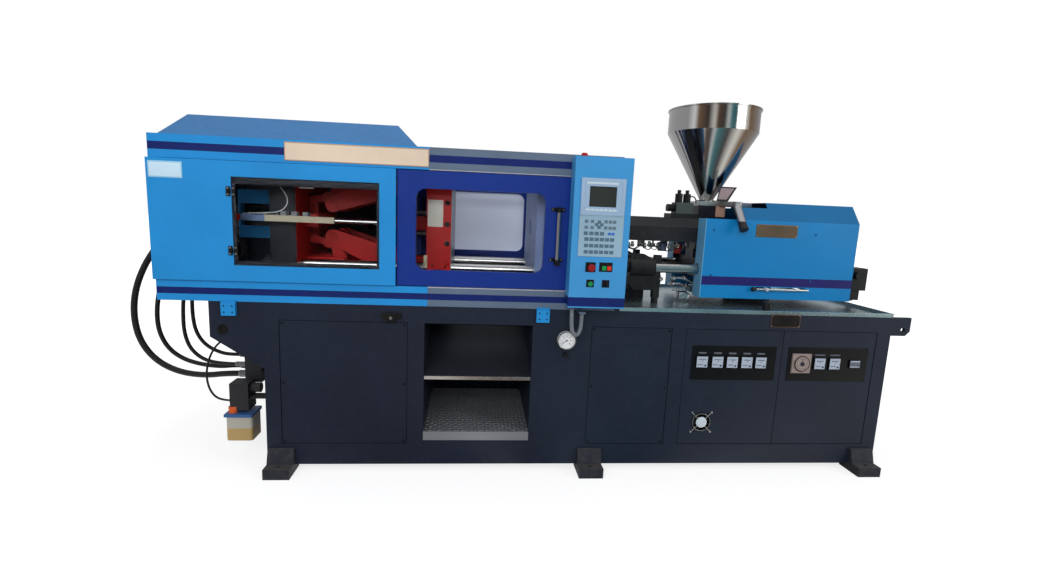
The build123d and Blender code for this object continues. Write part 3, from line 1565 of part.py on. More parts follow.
def hopper():
    """Spun stainless hopper with a rolled rim and a bolting flange."""
    sheet = hopper_sheet
    base = hopper_plate_z + hopper_plate_high
    cone_top = hopper_top - hopper_band
    outer = [
        (hopper_neck, base),
        (hopper_flange, base),
        (hopper_flange, base + hopper_flange_thick),
        (hopper_neck + sheet, base + hopper_flange_thick),
        (hopper_radius, cone_top),
        (hopper_radius, hopper_top - hopper_rim),
        (hopper_radius + hopper_rim, hopper_top - hopper_rim),
        (hopper_radius + hopper_rim, hopper_top),
        (hopper_radius - sheet, hopper_top),
        (hopper_radius - sheet, cone_top),
        (hopper_neck, base + hopper_flange_thick),
    ]
    face = make_face(Polyline(*outer, close=True))
    shell = Pos(hopper_x, 0, 0) * revolve(Plane.XZ * face, Axis.Z)
    return shell


def hopper_base():
    """Plate between hopper and throat that holds the slide gate, with the sight window and
    the tube that drains leftover pellets."""
    x0, x1 = hopper_plate_x
    half = throat_half_y
    z0, z1 = hopper_plate_z, hopper_plate_z + hopper_plate_high
    base = block(x0, x1, -half, half, z0, z1)
    wide, thick = gate_plate
    middle = (z0 + z1) / 2
    slot = block(x0 + slack, x1, -wide / 2 - fit, wide / 2 + fit, middle - thick / 2 - fit, middle + thick / 2 + fit)
    base = base - slot - rod_z(feed_hole, z0, z1, hopper_x, 0)
    x_top, y_top, z_top = drain_top
    tube_path = Line(drain_top, drain_end)
    outer = sweep(Plane(tube_path @ 0, z_dir=tube_path % 0) * Circle(drain_radius), path=tube_path)
    bore = sweep(Plane(tube_path @ 0, z_dir=tube_path % 0) * Circle(drain_radius - drain_wall), path=tube_path)
    plug = sweep(Plane(tube_path @ 0.9, z_dir=tube_path % 0) * Circle(drain_radius + drain_wall),
                 path=Line(tube_path @ 0.9, tube_path @ 1))
    spout = block(x_top - drain_spout, x_top + drain_spout, y_top - drain_spout, -half + slack, z0, z1)
    spout = fillet(spout.edges().filter_by(Axis.Z).group_by(Axis.Y)[0], drain_spout / 2)
    tube = outer - bore
    return merged([base, spout, tube, plug, sight_window()])


def sight_window():
    """Slanting framed window that stands on the front edge of the hopper base."""
    left, right, low = sight_low
    left_top, right_top, high = sight_high
    y1 = -throat_half_y
    frame = plate_xz([(left, low), (right, low), (right_top, high), (left_top, high)], y1 - slack, y1)
    rim = sight_frame
    glass = [(left + rim, low + landing), (right - rim / 2, low + landing),
             (right_top - rim * 2, high - rim), (left_top + rim, high - rim)]
    return frame - plate_xz(glass, y1 - slack, y1 - slack / 2)


def slide_gate():
    """Slide that shuts the hopper, pulled out by its end plate."""
    wide, thick = gate_plate
    middle = hopper_plate_z + hopper_plate_high / 2
    x0 = hopper_plate_x[0] + slack + seat
    end = hopper_plate_x[1] + gate_plate_out
    plate = block(x0, end, -wide / 2, wide / 2, middle - thick / 2, middle + thick / 2)
    plate -= rod_z(feed_hole, middle - thick, middle + thick, hopper_x, 0)
    grip = block(end - thick, end, -wide / 2 - slack, wide / 2 + slack,
                 middle - hopper_plate_high / 2 + slack, middle + hopper_plate_high / 2 - slack)
    return plate.fuse(grip)


def door(x0, x1):
    """Meter door of folded sheet."""
    y0 = -half_depth + bed_skin - panel_sheet
    return block(x0, x1, y0, y0 + panel_sheet, panel_low + panel_gap, panel_high - panel_gap)


def meter_door_left():
    """Left door with the ventilation hole, finger guard and case of the cabinet fan."""
    y0 = -half_depth + bed_skin - panel_sheet
    x, z = fan_place
    panel = door(door_span[0] + panel_gap, door_meeting - panel_gap / 2)
    panel -= rod_y(fan_hole, y0, y0 + panel_sheet, x, z)
    half = fan_case / 2
    case = block(x - half, x + half, y0 + panel_sheet, y0 + panel_sheet + fan_deep, z - half, z + half)
    case -= rod_y(fan_hole, y0, y0 + panel_sheet + fan_deep, x, z)
    bridge = block(x - fan_hole - 1, x + fan_hole + 1, y0 + fan_deep, y0 + panel_sheet + fan_deep,
                   z - slack, z + slack)
    bearing = rod_y(fan_hub / 2, y0 + fan_deep - slack * 2, y0 + panel_sheet + fan_deep, x, z)
    return group([panel, merged([case, bridge, bearing])])


def meter_door_right():
    return door(door_meeting + panel_gap / 2, door_span[1] - panel_gap)


def fan_rotor():
    """Hub and blades of the cabinet fan on the bearing of its case."""
    y0 = -half_depth + bed_skin
    x, z = fan_place
    y_hub = (y0 + slack, y0 + fan_deep - panel_sheet - slack * 2 - seat)
    hub = rod_y(fan_hub, *y_hub, x, z)
    middle = (y_hub[0] + y_hub[1]) / 2
    blade = Box(fan_hole - fan_hub - slack, slack / 2, fan_hub * 1.3)
    reach = fan_hub + (fan_hole - fan_hub - slack * 2) / 2
    blades = []
    for i in range(fan_blades):
        turn = Rot(0, 360 / fan_blades * i, 0)
        blades.append(Pos(x, middle, z) * turn * Pos(reach, 0, 0) * Rot(28, 0, 0) * blade)
    return merged([hub, *blades])


def meter_face(x, z, wide, high, y1):
    """A square instrument: raised case with a sunk dial."""
    y0 = y1 - meter_proud
    case = block(x - wide / 2, x + wide / 2, y0, y1, z - high / 2, z + high / 2)
    rim = slack
    return case - block(x - wide / 2 + rim, x + wide / 2 - rim, y0, y0 + rim / 2, z - high / 2 + rim, z + high / 2 - rim)


def meter_bank(xs):
    y1 = -half_depth + bed_skin - panel_sheet
    return block(*xs, y1 - bank_sheet, y1, *bank_z), y1 - bank_sheet


def meter_bank_left():
    """Black plate with five square temperature controllers."""
    plate, y1 = meter_bank(bank_left_x)
    meters = [meter_face(x, meter_z, meter_size, meter_size, y1) for x in meter_xs_left]
    return group([plate, *meters])


def meter_bank_right():
    """Black plate with a round timer, two controllers and a small counter."""
    plate, y1 = meter_bank(bank_right_x)
    size = right_meter_size
    meters = [meter_face(x, meter_z, size, size, y1) for x in meter_xs_right]
    half = timer_size / 2
    timer = block(timer_x - half, timer_x + half, y1 - meter_proud, y1, meter_z - half, meter_z + half)
    dial = rod_y(half * 0.8, y1 - meter_proud * 2, y1 - meter_proud, timer_x, meter_z)
    counter = meter_face(counter_x, meter_z, *counter_size, y1)
    return group([plate, timer.fuse(dial), counter, *meters])


def pressure_gauge():
    """Round pressure gauge on the front of the bed: bezel, sunk dial and stem."""
    x, z = gauge_place
    y1 = -half_depth
    case = rod_y(gauge_radius, y1 - gauge_deep, y1, x, z)
    case -= rod_y(gauge_radius - slack, y1 - gauge_deep, y1 - gauge_deep + slack, x, z)
    return case


def gauge_knob():
    """Knob of the gauge isolator on its spindle through the bed skin."""
    x, z = knob_place
    y1 = -half_depth - seat
    knob = rod_y(knob_radius, y1 - knob_long, y1, x, z)
    return knob.fuse(rod_y(knob_radius / 2, y1 - slack, y1 + bed_skin * 2, x, z))


def hydraulic_fittings():
    """Hose manifold on an arm from the bed end, its fittings, and the lubrication unit."""
    y0, y1 = manifold_y
    body = block(manifold_x, manifold_x + 90, y0, y1, *manifold_z)
    arm = block(manifold_x + 90, bed_left, y0 + 40, y1 - 40, *manifold_arm_z)
    fittings = []
    for y, z, radius in hose_ends:
        fittings.append(rod_x(radius, manifold_x - fitting_long, manifold_x, y, z))
    manifold = merged([body, arm, *fittings])
    pump = block(*pump_x, *pump_y, *pump_z)
    shelf = block(pump_x[1], bed_left, pump_y[0] + 20, pump_y[1] - 20, pump_z[0] + 60, pump_z[0] + 72)
    x, y = (pump_x[0] + pump_x[1]) / 2, (pump_y[0] + pump_y[1]) / 2
    motor = rod_x(26, pump_x[1] - 30, pump_x[1] + 50, y, pump_z[1] - 34)
    unit = merged([pump, shelf, motor, rod_z(18, tank_z[1], pump_z[0], x, y)])
    tank_low = block(*tank_x, *tank_y, tank_z[0], tank_z[1] - tank_lid)
    tank_low = fillet(tank_low.edges().filter_by(Axis.Z), tank_lid)
    lid = block(tank_x[0] - 6, tank_x[1] + 2, tank_y[0] - 6, tank_y[1] + 6, tank_z[1] - tank_lid, tank_z[1])
    cap = rod_z(tank_cap, tank_z[1], tank_z[1] + tank_lid * 2, tank_x[0] + tank_cap * 1.2, tank_y[0] + tank_cap * 1.4)
    return group([manifold, unit, tank_low, lid, cap])


def hose(points, radius):
    """A hose as straight runs joined by the largest arcs that its runs allow."""
    radii = []
    for a, b, c in zip(points, points[1:], points[2:]):
        before = Vector(*b) - Vector(*a)
        after = Vector(*c) - Vector(*b)
        half_turn = math.radians(before.get_angle(after)) / 2
        radii.append(0.45 * min(before.length, after.length) / math.tan(half_turn))
    path = FilletPolyline(*points, radius=radii)
    section = Plane(path @ 0, z_dir=path % 0) * Circle(radius)
    tube = sweep(section, path=path)
    expected = math.pi * radius**2 * path.length
    print("hose length", round(path.length), "volume ratio", round(tube.volume / expected, 4))
    print("  radii", [round(r) for r in radii])
    return tube


def write(name, shape):
    export_step(shape, f"parts/{name}.step")


nodes = {
    "bed_frame": bed_frame,
    "levelling_feet": levelling_feet,
    "bed_covers": bed_covers,
    "drip_tray": drip_tray,
    "guard_rails_left": guard_rails_left,
    "guard_rails_right": guard_rails_right,
    "roof_cover": roof_cover,
    "clamp_panels": clamp_panels,
    "window_door": window_door,
    "operator_gate": operator_gate,
    "gate_pane": operator_gate_pane,
    "rear_gate": rear_gate,
    "control_cabinet": control_cabinet,
    "keypad": keypad,
    "emergency_stop": emergency_stop,
    "start_button": start_button,
    "stop_button": stop_button,
    "cycle_button": cycle_button,
    "mode_switch": mode_switch,
    "tail_platen": tail_platen,
    "moving_platen": moving_platen,
    "ejector": ejector,
    "stationary_platen": stationary_platen,
    "tie_bars": tie_bars,
    "rear_link_upper": rear_link,
    "rear_link_lower": lambda: upside_down(rear_link()),
    "front_link_upper": front_link,
    "front_link_lower": lambda: upside_down(front_link()),
    "crosshead_link_upper": crosshead_link,
    "crosshead_link_lower": lambda: upside_down(crosshead_link()),
    "crosshead": crosshead,
    "clamp_cylinder": clamp_cylinder,
    "guide_rods": guide_rods,
    "position_rail": position_rail,
    "carriage_brackets": carriage_brackets,
    "throat_block": throat_block,
    "barrel": barrel,
    "screw": screw,
    "push_plate": push_plate,
    "stroke_pointer": stroke_pointer,
    "injection_cover": injection_cover,
    "barrel_cover": barrel_cover,
    "valve_stack": valve_stack,
    "hopper": hopper,
    "hopper_base": hopper_base,
    "slide_gate": slide_gate,
    "meter_door_left": meter_door_left,
    "meter_door_right": meter_door_right,
    "fan_rotor": fan_rotor,
    "meter_bank_left": meter_bank_left,
    "meter_bank_right": meter_bank_right,
    "pressure_gauge": pressure_gauge,
    "gauge_knob": gauge_knob,
    "hydraulic_fittings": hydraulic_fittings,
    "hose_a": lambda: hose(hose_a, hose_a_radius),
    "hose_b": lambda: hose(hose_b, hose_b_radius),
    "hose_c": lambda: hose(hose_c, hose_c_radius),
    "hose_d": lambda: hose(hose_d, hose_c_radius),
    "cable": lambda: hose(cable, cable_radius),
    "conduit": lambda: hose(conduit, conduit_radius),
}

os.makedirs("parts", exist_ok=True)
for name, make in nodes.items():
    write(name, make())
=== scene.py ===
import math

import bpy
from mathutils import Matrix, Vector


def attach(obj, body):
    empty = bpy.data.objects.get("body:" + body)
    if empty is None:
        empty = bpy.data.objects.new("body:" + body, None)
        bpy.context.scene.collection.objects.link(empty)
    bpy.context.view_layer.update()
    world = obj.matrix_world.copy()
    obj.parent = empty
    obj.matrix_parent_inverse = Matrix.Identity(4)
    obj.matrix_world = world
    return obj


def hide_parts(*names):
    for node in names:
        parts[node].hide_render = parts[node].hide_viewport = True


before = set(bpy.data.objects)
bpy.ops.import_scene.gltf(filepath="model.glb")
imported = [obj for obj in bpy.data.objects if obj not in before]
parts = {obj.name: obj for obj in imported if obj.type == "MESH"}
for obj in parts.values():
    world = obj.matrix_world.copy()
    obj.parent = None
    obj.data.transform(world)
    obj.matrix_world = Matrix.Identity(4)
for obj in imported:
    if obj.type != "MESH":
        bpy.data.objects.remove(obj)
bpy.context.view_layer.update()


# Camera. It stands a little left of the machine's middle at standing eye height, with a wide
# lens, turned slightly to the right and tilted down.
camera_place = Vector((-0.4568, -3.2159, 1.4176))
sight = Vector((0.09199, 0.98354, -0.15550)).normalized()
picture_right = Vector((0.99539, -0.08655, 0.04140)).normalized()
picture_up = (-sight).cross(picture_right).normalized()
lens = bpy.data.cameras.new("camera")
lens.lens = 18.33
lens.sensor_width = 36.0
lens.sensor_fit = "HORIZONTAL"
lens.clip_end = 60
camera = bpy.data.objects.new("camera", lens)
bpy.context.collection.objects.link(camera)
turn = Matrix((picture_right, picture_up, -sight)).transposed().to_4x4()
camera.matrix_world = Matrix.Translation(camera_place) @ turn
bpy.context.scene.camera = camera
bpy.context.scene.view_settings.view_transform = "Standard"


# Studio. A pale seamless floor, large soft lamps above and beside the camera, and a plain room
# that the polished steel reflects, with dark flags and narrow bright strips round it.
def linear(red, green, blue):
    """A colour as a shader wants it, from the usual 0 to 255 values."""
    steps = [value / 255 for value in (red, green, blue)]
    return [s / 12.92 if s <= 0.04045 else ((s + 0.055) / 1.055) ** 2.4 for s in steps] + [1.0]


def shader_of(tree):
    return next(node for node in tree.nodes if node.type == "BSDF_PRINCIPLED")


def new_material(name):
    """A material with its node tree and its own shader."""
    material = bpy.data.materials.new(name)
    material.use_nodes = True
    return material, material.node_tree, shader_of(material.node_tree)


def select(*pieces):
    """Selects these pieces alone and makes the first of them active."""
    bpy.ops.object.select_all(action="DESELECT")
    for piece in pieces:
        piece.select_set(True)
    if pieces:
        bpy.context.view_layer.objects.active = pieces[0]


def feed(tree, node, feeds):
    """Sets each input of a node to a value, or links it to another node's output."""
    for socket, source in feeds.items():
        if isinstance(source, bpy.types.NodeSocket):
            tree.links.new(source, node.inputs[socket])
        else:
            node.inputs[socket].default_value = source
    return node


def add(tree, kind, feeds=None, **settings):
    """A new shader node with its settings and its inputs."""
    node = tree.nodes.new(f"ShaderNode{kind}")
    for key, setting in settings.items():
        setattr(node, key, setting)
    return feed(tree, node, feeds or {})


def worked(tree, operation, *values, kind="Math", **settings):
    """The outcome of one sum on values or other nodes' outputs."""
    return add(tree, kind, dict(enumerate(values)), operation=operation, **settings).outputs[0]


def scaled(tree, vector, factor):
    return add(tree, "VectorMath", {0: vector, "Scale": factor}, operation="SCALE").outputs[0]


def spread(tree, value, low, high, new_low=0, new_high=1):
    """A value moved from one range to another and held inside it."""
    ends = {"From Min": low, "From Max": high, "To Min": new_low, "To Max": new_high}
    return add(tree, "MapRange", {"Value": value, **ends}).outputs["Result"]


def blend(tree, share, colour, other):
    return add(tree, "Mix", {0: share, 6: colour, 7: other}, data_type="RGBA").outputs[2]


def ramp(tree, value, stops):
    """A colour that follows a value through (place, colour) stops."""
    node = add(tree, "ValToRGB", {0: value})
    first, last = node.color_ramp.elements
    first.position, first.color = stops[0]
    last.position, last.color = stops[-1]
    for place, colour in stops[1:-1]:
        node.color_ramp.elements.new(place).color = colour
    return node.outputs[0]


def straight_sight(tree):
    """1 for rays that the camera sends, also through clear sheets, and 1 for glossy rays."""
    ray = add(tree, "LightPath").outputs
    either = worked(tree, "MAXIMUM", ray["Is Camera Ray"], ray["Is Transmission Ray"])
    bounces = worked(tree, "ADD", ray["Diffuse Depth"], ray["Glossy Depth"])
    straight = worked(tree, "LESS_THAN", bounces, 0.5)
    return worked(tree, "MULTIPLY", either, straight), ray["Is Glossy Ray"]


strips = [
    (0.00, (0.50, 0.50, 0.52, 1)), (0.05, (1.10, 1.10, 1.12, 1)), (0.08, (0.26, 0.16, 0.10, 1)),
    (0.15, (0.06, 0.05, 0.05, 1)), (0.19, (0.95, 0.90, 0.84, 1)), (0.215, (0.16, 0.09, 0.06, 1)),
    (0.26, (0.07, 0.07, 0.07, 1)), (0.285, (0.80, 0.84, 0.84, 1)), (0.31, (0.06, 0.26, 0.30, 1)),
    (0.37, (0.07, 0.06, 0.06, 1)), (0.42, (1.15, 1.12, 1.05, 1)), (0.46, (0.30, 0.18, 0.10, 1)),
    (0.60, (0.42, 0.42, 0.44, 1)), (0.75, (0.60, 0.60, 0.62, 1)), (1.00, (0.50, 0.50, 0.52, 1))]


def strips_round(tree, heading):
    """Dark flags and bright strips that stand round the machine, by compass heading."""
    compass = worked(tree, "ARCTAN2", heading[1], heading[0])
    return ramp(tree, worked(tree, "MULTIPLY_ADD", compass, 0.5 / math.pi, 0.5), strips)


select()
bpy.ops.mesh.primitive_plane_add(size=60, location=(0, 6, 0))
floor = bpy.context.object
floor.name = "studio_floor"
floor_paint, tree, shader = new_material("studio_floor")
direct, glossy = straight_sight(tree)
spot = add(tree, "NewGeometry").outputs["Position"]
distance = add(tree, "VectorMath", {0: spot}, operation="LENGTH").outputs["Value"]
glow = worked(tree, "MULTIPLY", spread(tree, distance, 2.2, 4.2, 0.74, 1.0), direct)
bands = strips_round(tree, add(tree, "SeparateXYZ", {0: spot}).outputs)
feed(tree, shader, {
    "Base Color": blend(tree, glossy, (0.38, 0.38, 0.385, 1), (0.03, 0.03, 0.03, 1)),
    "Roughness": 0.9,
    "Emission Color": worked(tree, "ADD", glow, scaled(tree, bands, glossy), kind="VectorMath"),
    "Emission Strength": 1.0})
floor.data.materials.append(floor_paint)

world = bpy.data.worlds.new("studio_room")
bpy.context.scene.world = world
world.use_nodes = True
room = world.node_tree
heading = add(room, "SeparateXYZ", {0: add(room, "TexCoord").outputs["Generated"]}).outputs
height = worked(room, "MULTIPLY_ADD", heading[2], 0.5, 0.5)
plain = ramp(room, height, [(0.42, (0.12, 0.12, 0.13, 1)), (0.64, (0.50, 0.51, 0.53, 1))])
upward = spread(room, height, 0.74, 0.92)
ceiling = blend(room, upward, strips_round(room, heading), (0.8, 0.8, 0.82, 1))
direct, glossy = straight_sight(room)
seen = blend(room, direct, blend(room, glossy, plain, ceiling), (1, 1, 1, 1))
feed(room, room.nodes["Background"], {"Color": seen, "Strength": 1.0})


def lamp(name, place, aim, size, power, mirrored=True):
    """A large soft lamp, which polished steel may mirror or not."""
    light = bpy.data.lights.new(name, "AREA")
    light.shape = "RECTANGLE"
    light.size, light.size_y = size
    light.energy = power
    holder = bpy.data.objects.new(name, light)
    bpy.context.collection.objects.link(holder)
    facing = (Vector(aim) - Vector(place)).to_track_quat("-Z", "Y").to_matrix().to_4x4()
    holder.matrix_world = Matrix.Translation(place) @ facing
    holder.visible_glossy = mirrored


lamp("front_softbox", (-1.6, -5.6, 3.0), (0, 0, 0.9), (4.5, 2.2), 180, mirrored=False)
lamp("side_softbox", (4.6, -3.6, 2.6), (0.6, 0, 1.0), (2.2, 2.6), 60)
lamp("top_softbox", (0.0, 0.4, 5.2), (0, 0, 0), (5.0, 3.0), 26)


# Free hoses. Black rubber hydraulic hoses in four sizes leave the clamp cylinder and the arm
# plate and sweep down to the manifold at the end of the bed. Each is its own tube.
def route(name, points, radius):
    """A smooth line through open air with the route's points as its control points."""
    curve = bpy.data.curves.new(name, "CURVE")
    curve.dimensions = "3D"
    spline = curve.splines.new("NURBS")
    spline.points.add(len(points) - 1)
    for knot, point in zip(spline.points, points):
        knot.co = (point[0] / 1000, point[1] / 1000, point[2] / 1000, 1)
    spline.order_u = 3
    spline.use_endpoint_u = True
    spline.resolution_u = 12
    curve.bevel_depth = radius / 1000
    curve.bevel_resolution = 7
    curve.use_fill_caps = True
    line = bpy.data.objects.new(name, curve)
    bpy.context.collection.objects.link(line)
    return line


def grain(tree, place, scale, **more):
    return add(tree, "TexNoise", {"Vector": place, "Scale": scale, **more}).outputs["Fac"]


rubber, tree, shader = new_material("hose_rubber")
place = add(tree, "TexCoord").outputs["Object"]
weave = {"Height": grain(tree, place, 900), "Strength": 0.25, "Distance": 0.0006}
feed(tree, shader, {
    "Base Color": ramp(
        tree, grain(tree, place, 38), [(0, linear(11, 12, 14)), (1, linear(27, 28, 30))]),
    "Roughness": 0.42,
    "Normal": add(tree, "Bump", weave).outputs["Normal"]})

hose_routes = {
    "hose_a": (16.5, 1.537, [
        (-1935, 0, 1310), (-2025, 0, 1310), (-2125, -30, 1250), (-2205, -75, 1150),
        (-2270, -115, 1025), (-2312, -143, 885), (-2325, -150, 740), (-2300, -152, 600),
        (-2220, -155, 488), (-2095, -161, 424), (-1950, -167, 408), (-1835, -170, 424),
        (-1756, -170, 424)]),
    "hose_b": (12.0, 1.280, [
        (-1935, -36, 1280), (-1995, -36, 1280), (-2070, -62, 1220), (-2125, -90, 1120),
        (-2165, -115, 1005), (-2190, -135, 885), (-2204, -147, 765), (-2196, -150, 650),
        (-2152, -148, 556), (-2075, -145, 495), (-1975, -142, 464), (-1870, -140, 454),
        (-1808, -140, 462), (-1756, -140, 462)]),
    "hose_c": (10.0, 1.105, [
        (-1742, -125, 1240), (-1810, -125, 1240), (-1900, -140, 1200), (-1975, -160, 1110),
        (-2020, -178, 1000), (-2032, -190, 885), (-2038, -198, 770), (-2034, -204, 660),
        (-2002, -208, 570), (-1930, -210, 510), (-1830, -210, 492), (-1756, -210, 492)]),
    "hose_d": (10.0, 1.019, [
        (-1742, -62, 1222), (-1815, -62, 1222), (-1905, -78, 1175), (-1975, -100, 1080),
        (-2013, -120, 970), (-2018, -134, 860), (-2016, -143, 750), (-2000, -148, 655),
        (-1950, -150, 580), (-1870, -150, 538), (-1810, -150, 530), (-1756, -150, 530)]),
    "cable": (5.5, 0.653, [
        (-1655, -225, 560), (-1655, -225, 600), (-1690, -242, 650), (-1752, -265, 668),
        (-1812, -290, 640), (-1850, -312, 575), (-1866, -330, 495), (-1858, -342, 412),
        (-1822, -350, 350), (-1770, -350, 330), (-1722, -350, 330)]),
}
for name, (radius, length, points) in hose_routes.items():
    line = route(f"rubber_{name}", points, radius)
    line.data.materials.append(rubber)
    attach(line, "bed")
    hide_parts(name)
    start = [v / 1000 for v in points[0]]


# Cabinet conduit. Grey corrugated plastic conduit loops from the floor of the control cabinet
# up into a gland under the guard rail. Its rings are modelled along the route.
conduit_points = [
    (62, -560, 935), (62, -560, 870), (66, -558, 806), (90, -553, 772), (114, -548, 800),
    (118, -545, 848), (118, -545, 893)]
conduit_line = route("conduit_line", conduit_points, 0)
centreline = bpy.data.meshes.new_from_object(conduit_line)
spots = [v.co.copy() for v in centreline.vertices]
bpy.data.objects.remove(conduit_line)
steps = []
walked = 0.0
for before, after in zip(spots, spots[1:]):
    steps.append((walked, before, after))
    walked += (after - before).length


def along(distance):
    """Place and heading at a distance along the conduit."""
    for start, before, after in reversed(steps):
        if distance >= start:
            ahead = (after - before).normalized()
            return before + ahead * (distance - start), ahead


sides = 20
crest_radius, groove_radius = 0.0110, 0.0090
count = int(walked / 0.0018)
verts, faces = [], []
for i in range(count + 1):
    centre, ahead = along(min(walked * i / count, walked - 1e-6))
    across = ahead.cross(Vector((0, 1, 0))).normalized()
    over = across.cross(ahead).normalized()
    radius = crest_radius if i % 3 else groove_radius
    for k in range(sides):
        angle = 2 * math.pi * k / sides
        verts.append(centre + (across * math.cos(angle) + over * math.sin(angle)) * radius)
for i in range(count):
    for k in range(sides):
        a, b = i * sides + k, i * sides + (k + 1) % sides
        faces.append((a, b, b + sides, a + sides))
faces.append(tuple(reversed(range(sides))))
faces.append(tuple(range(count * sides, (count + 1) * sides)))
conduit_mesh = bpy.data.meshes.new("corrugated_conduit")
conduit_mesh.from_pydata(verts, [], faces)
conduit = bpy.data.objects.new("corrugated_conduit", conduit_mesh)
bpy.context.collection.objects.link(conduit)
select(conduit)
bpy.ops.object.mode_set(mode="EDIT")
bpy.ops.mesh.select_all(action="SELECT")
bpy.ops.mesh.normals_make_consistent(inside=False)
bpy.ops.object.mode_set(mode="OBJECT")
bpy.ops.object.shade_smooth_by_angle(angle=math.radians(50))
conduit_plastic, tree, shader = new_material("conduit_plastic")
dust = grain(tree, add(tree, "TexCoord").outputs["Object"], 60)
feed(tree, shader, {
    "Base Color": ramp(tree, dust, [(0, linear(92, 100, 108)), (1, linear(134, 141, 147))]),
    "Roughness": 0.55})
conduit.data.materials.append(conduit_plastic)
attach(conduit, "bed")
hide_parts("conduit")


# Paint. Every painted sheet and casting shares one finish: a slight orange peel, soft cloudy
# variation, dust that settles on ledges, and corners that a bevel catches.
def new_group(name, inputs, outputs):
    """A shader group with its (label, kind) sockets, its inputs and its output node."""
    group = bpy.data.node_groups.new(name, "ShaderNodeTree")
    for way, sockets in (("INPUT", inputs), ("OUTPUT", outputs)):
        for label, kind in sockets:
            group.interface.new_socket(label, in_out=way, socket_type=f"NodeSocket{kind}")
    enter = group.nodes.new("NodeGroupInput")
    return group, enter.outputs, group.nodes.new("NodeGroupOutput")


box_mask, enter, leave = new_group(
    "box_mask", (("Place", "Vector"), ("Low", "Vector"), ("High", "Vector")), (("Mask", "Float"),))
above = worked(box_mask, "SUBTRACT", enter["Place"], enter["Low"], kind="VectorMath")
below = worked(box_mask, "SUBTRACT", enter["High"], enter["Place"], kind="VectorMath")
nearer = worked(box_mask, "MINIMUM", above, below, kind="VectorMath")
depth = add(box_mask, "SeparateXYZ", {0: nearer}).outputs
least = worked(box_mask, "MINIMUM", worked(box_mask, "MINIMUM", depth[0], depth[1]), depth[2])
feed(box_mask, leave, {"Mask": worked(box_mask, "GREATER_THAN", least, 0.0)})

wear, enter, leave = new_group(
    "surface_wear", (("Place", "Vector"), ("Color", "Color"), ("Roughness", "Float"),
                     ("Peel", "Float"), ("Dust", "Float"), ("Cloud", "Float")),
    (("Color", "Color"), ("Roughness", "Float"), ("Normal", "Vector")))
clouds = grain(wear, enter["Place"], 3.5, Detail=5)
scuffs = grain(wear, enter["Place"], 26, Detail=8, Roughness=0.7)
swing = worked(wear, "MULTIPLY", spread(wear, clouds, 0.3, 0.7, -1, 1), enter["Cloud"])
toned = scaled(wear, enter["Color"], worked(wear, "ADD", swing, 1.0))
upright = add(wear, "SeparateXYZ", {0: add(wear, "NewGeometry").outputs["Normal"]}).outputs[2]
patches = spread(wear, scuffs, 0.46, 0.72)
specks = worked(wear, "MULTIPLY", patches, 0.45)
film = worked(wear, "MULTIPLY_ADD", spread(wear, upright, 0.4, 1.0), 0.55, specks)
dust = worked(wear, "MULTIPLY", film, enter["Dust"], use_clamp=True)
rougher = worked(wear, "MULTIPLY_ADD", dust, 0.35, enter["Roughness"])
orange_peel = {
    "Height": grain(wear, enter["Place"], 420), "Strength": enter["Peel"], "Distance": 0.0008,
    "Normal": add(wear, "Bevel", {"Radius": 0.0025}, samples=3).outputs["Normal"]}
feed(wear, leave, {
    "Color": blend(wear, dust, toned, linear(122, 118, 110)),
    "Roughness": worked(wear, "MULTIPLY_ADD", patches, 0.08, rougher, use_clamp=True),
    "Normal": add(wear, "Bump", orange_peel).outputs["Normal"]})


def skin(red, green, blue, rough, metallic=0.0):
    """A finish for a coat: its colour, how metallic it is and how rough."""
    return linear(red, green, blue), metallic, rough


sky_blue = skin(34, 138, 206, 0.36)
navy = skin(17, 48, 130, 0.36)
stripe_navy = skin(12, 32, 98, 0.40)
rail_grey = skin(93, 108, 128, 0.42)
bed_paint = skin(26, 34, 50, 0.46)
dark_paint = skin(21, 24, 34, 0.48)
black = skin(16, 16, 19, 0.44)
signal_red = skin(172, 8, 6, 0.38)
platen_grey = skin(136, 154, 198, 0.45)
steel = skin(150, 150, 150, 0.34, 1.0)
bright_steel = skin(198, 198, 196, 0.22, 1.0)
chrome = skin(184, 183, 182, 0.20, 1.0)
stainless = skin(176, 176, 174, 0.09, 1.0)
beige = skin(178, 168, 146, 0.42)
white_enamel = skin(224, 226, 228, 0.42)
brass = skin(122, 100, 66, 0.40, 0.7)


def inside(tree, place, low, high):
    """1 inside a box given in millimetres, and 0 outside it."""
    box = {"Place": place, "Low": [v / 1000 for v in low], "High": [v / 1000 for v in high]}
    return add(tree, "Group", box, node_tree=box_mask).outputs[0]


def coat(name, base, regions=(), peel=0.10, dust=0.06, cloud=0.07):
    """A material with the shared wear, a base finish, and other finishes inside boxes.

    The regions are (low, high, finish) with the boxes in millimetres, for a casting or sheet
    that is painted or plated in more than one way.
    """
    material, tree, shader = new_material(name)
    place = add(tree, "TexCoord").outputs["Object"]
    colour, metal, rough = base
    shader.inputs["Metallic"].default_value = metal
    if metal == 0.0:
        shader.inputs["Specular IOR Level"].default_value = 0.28
    for low, high, (other_colour, other_metal, other_rough) in regions:
        share = inside(tree, place, low, high)
        colour = blend(tree, share, colour, other_colour)
        ends = {0: share, 2: rough, 3: other_rough}
        rough = add(tree, "Mix", ends, data_type="FLOAT").outputs[0]
        if any(finish[1] != base[1] for low, high, finish in regions):
            ends = {0: share, 2: metal, 3: other_metal}
            metal = add(tree, "Mix", ends, data_type="FLOAT").outputs[0]
    surface = {"Place": place, "Color": colour, "Roughness": rough, "Peel": peel, "Dust": dust,
               "Cloud": cloud}
    worn = add(tree, "Group", surface, node_tree=wear).outputs
    feed(tree, shader, {"Base Color": worn["Color"], "Metallic": metal,
                        "Roughness": worn["Roughness"], "Normal": worn["Normal"]})
    return material


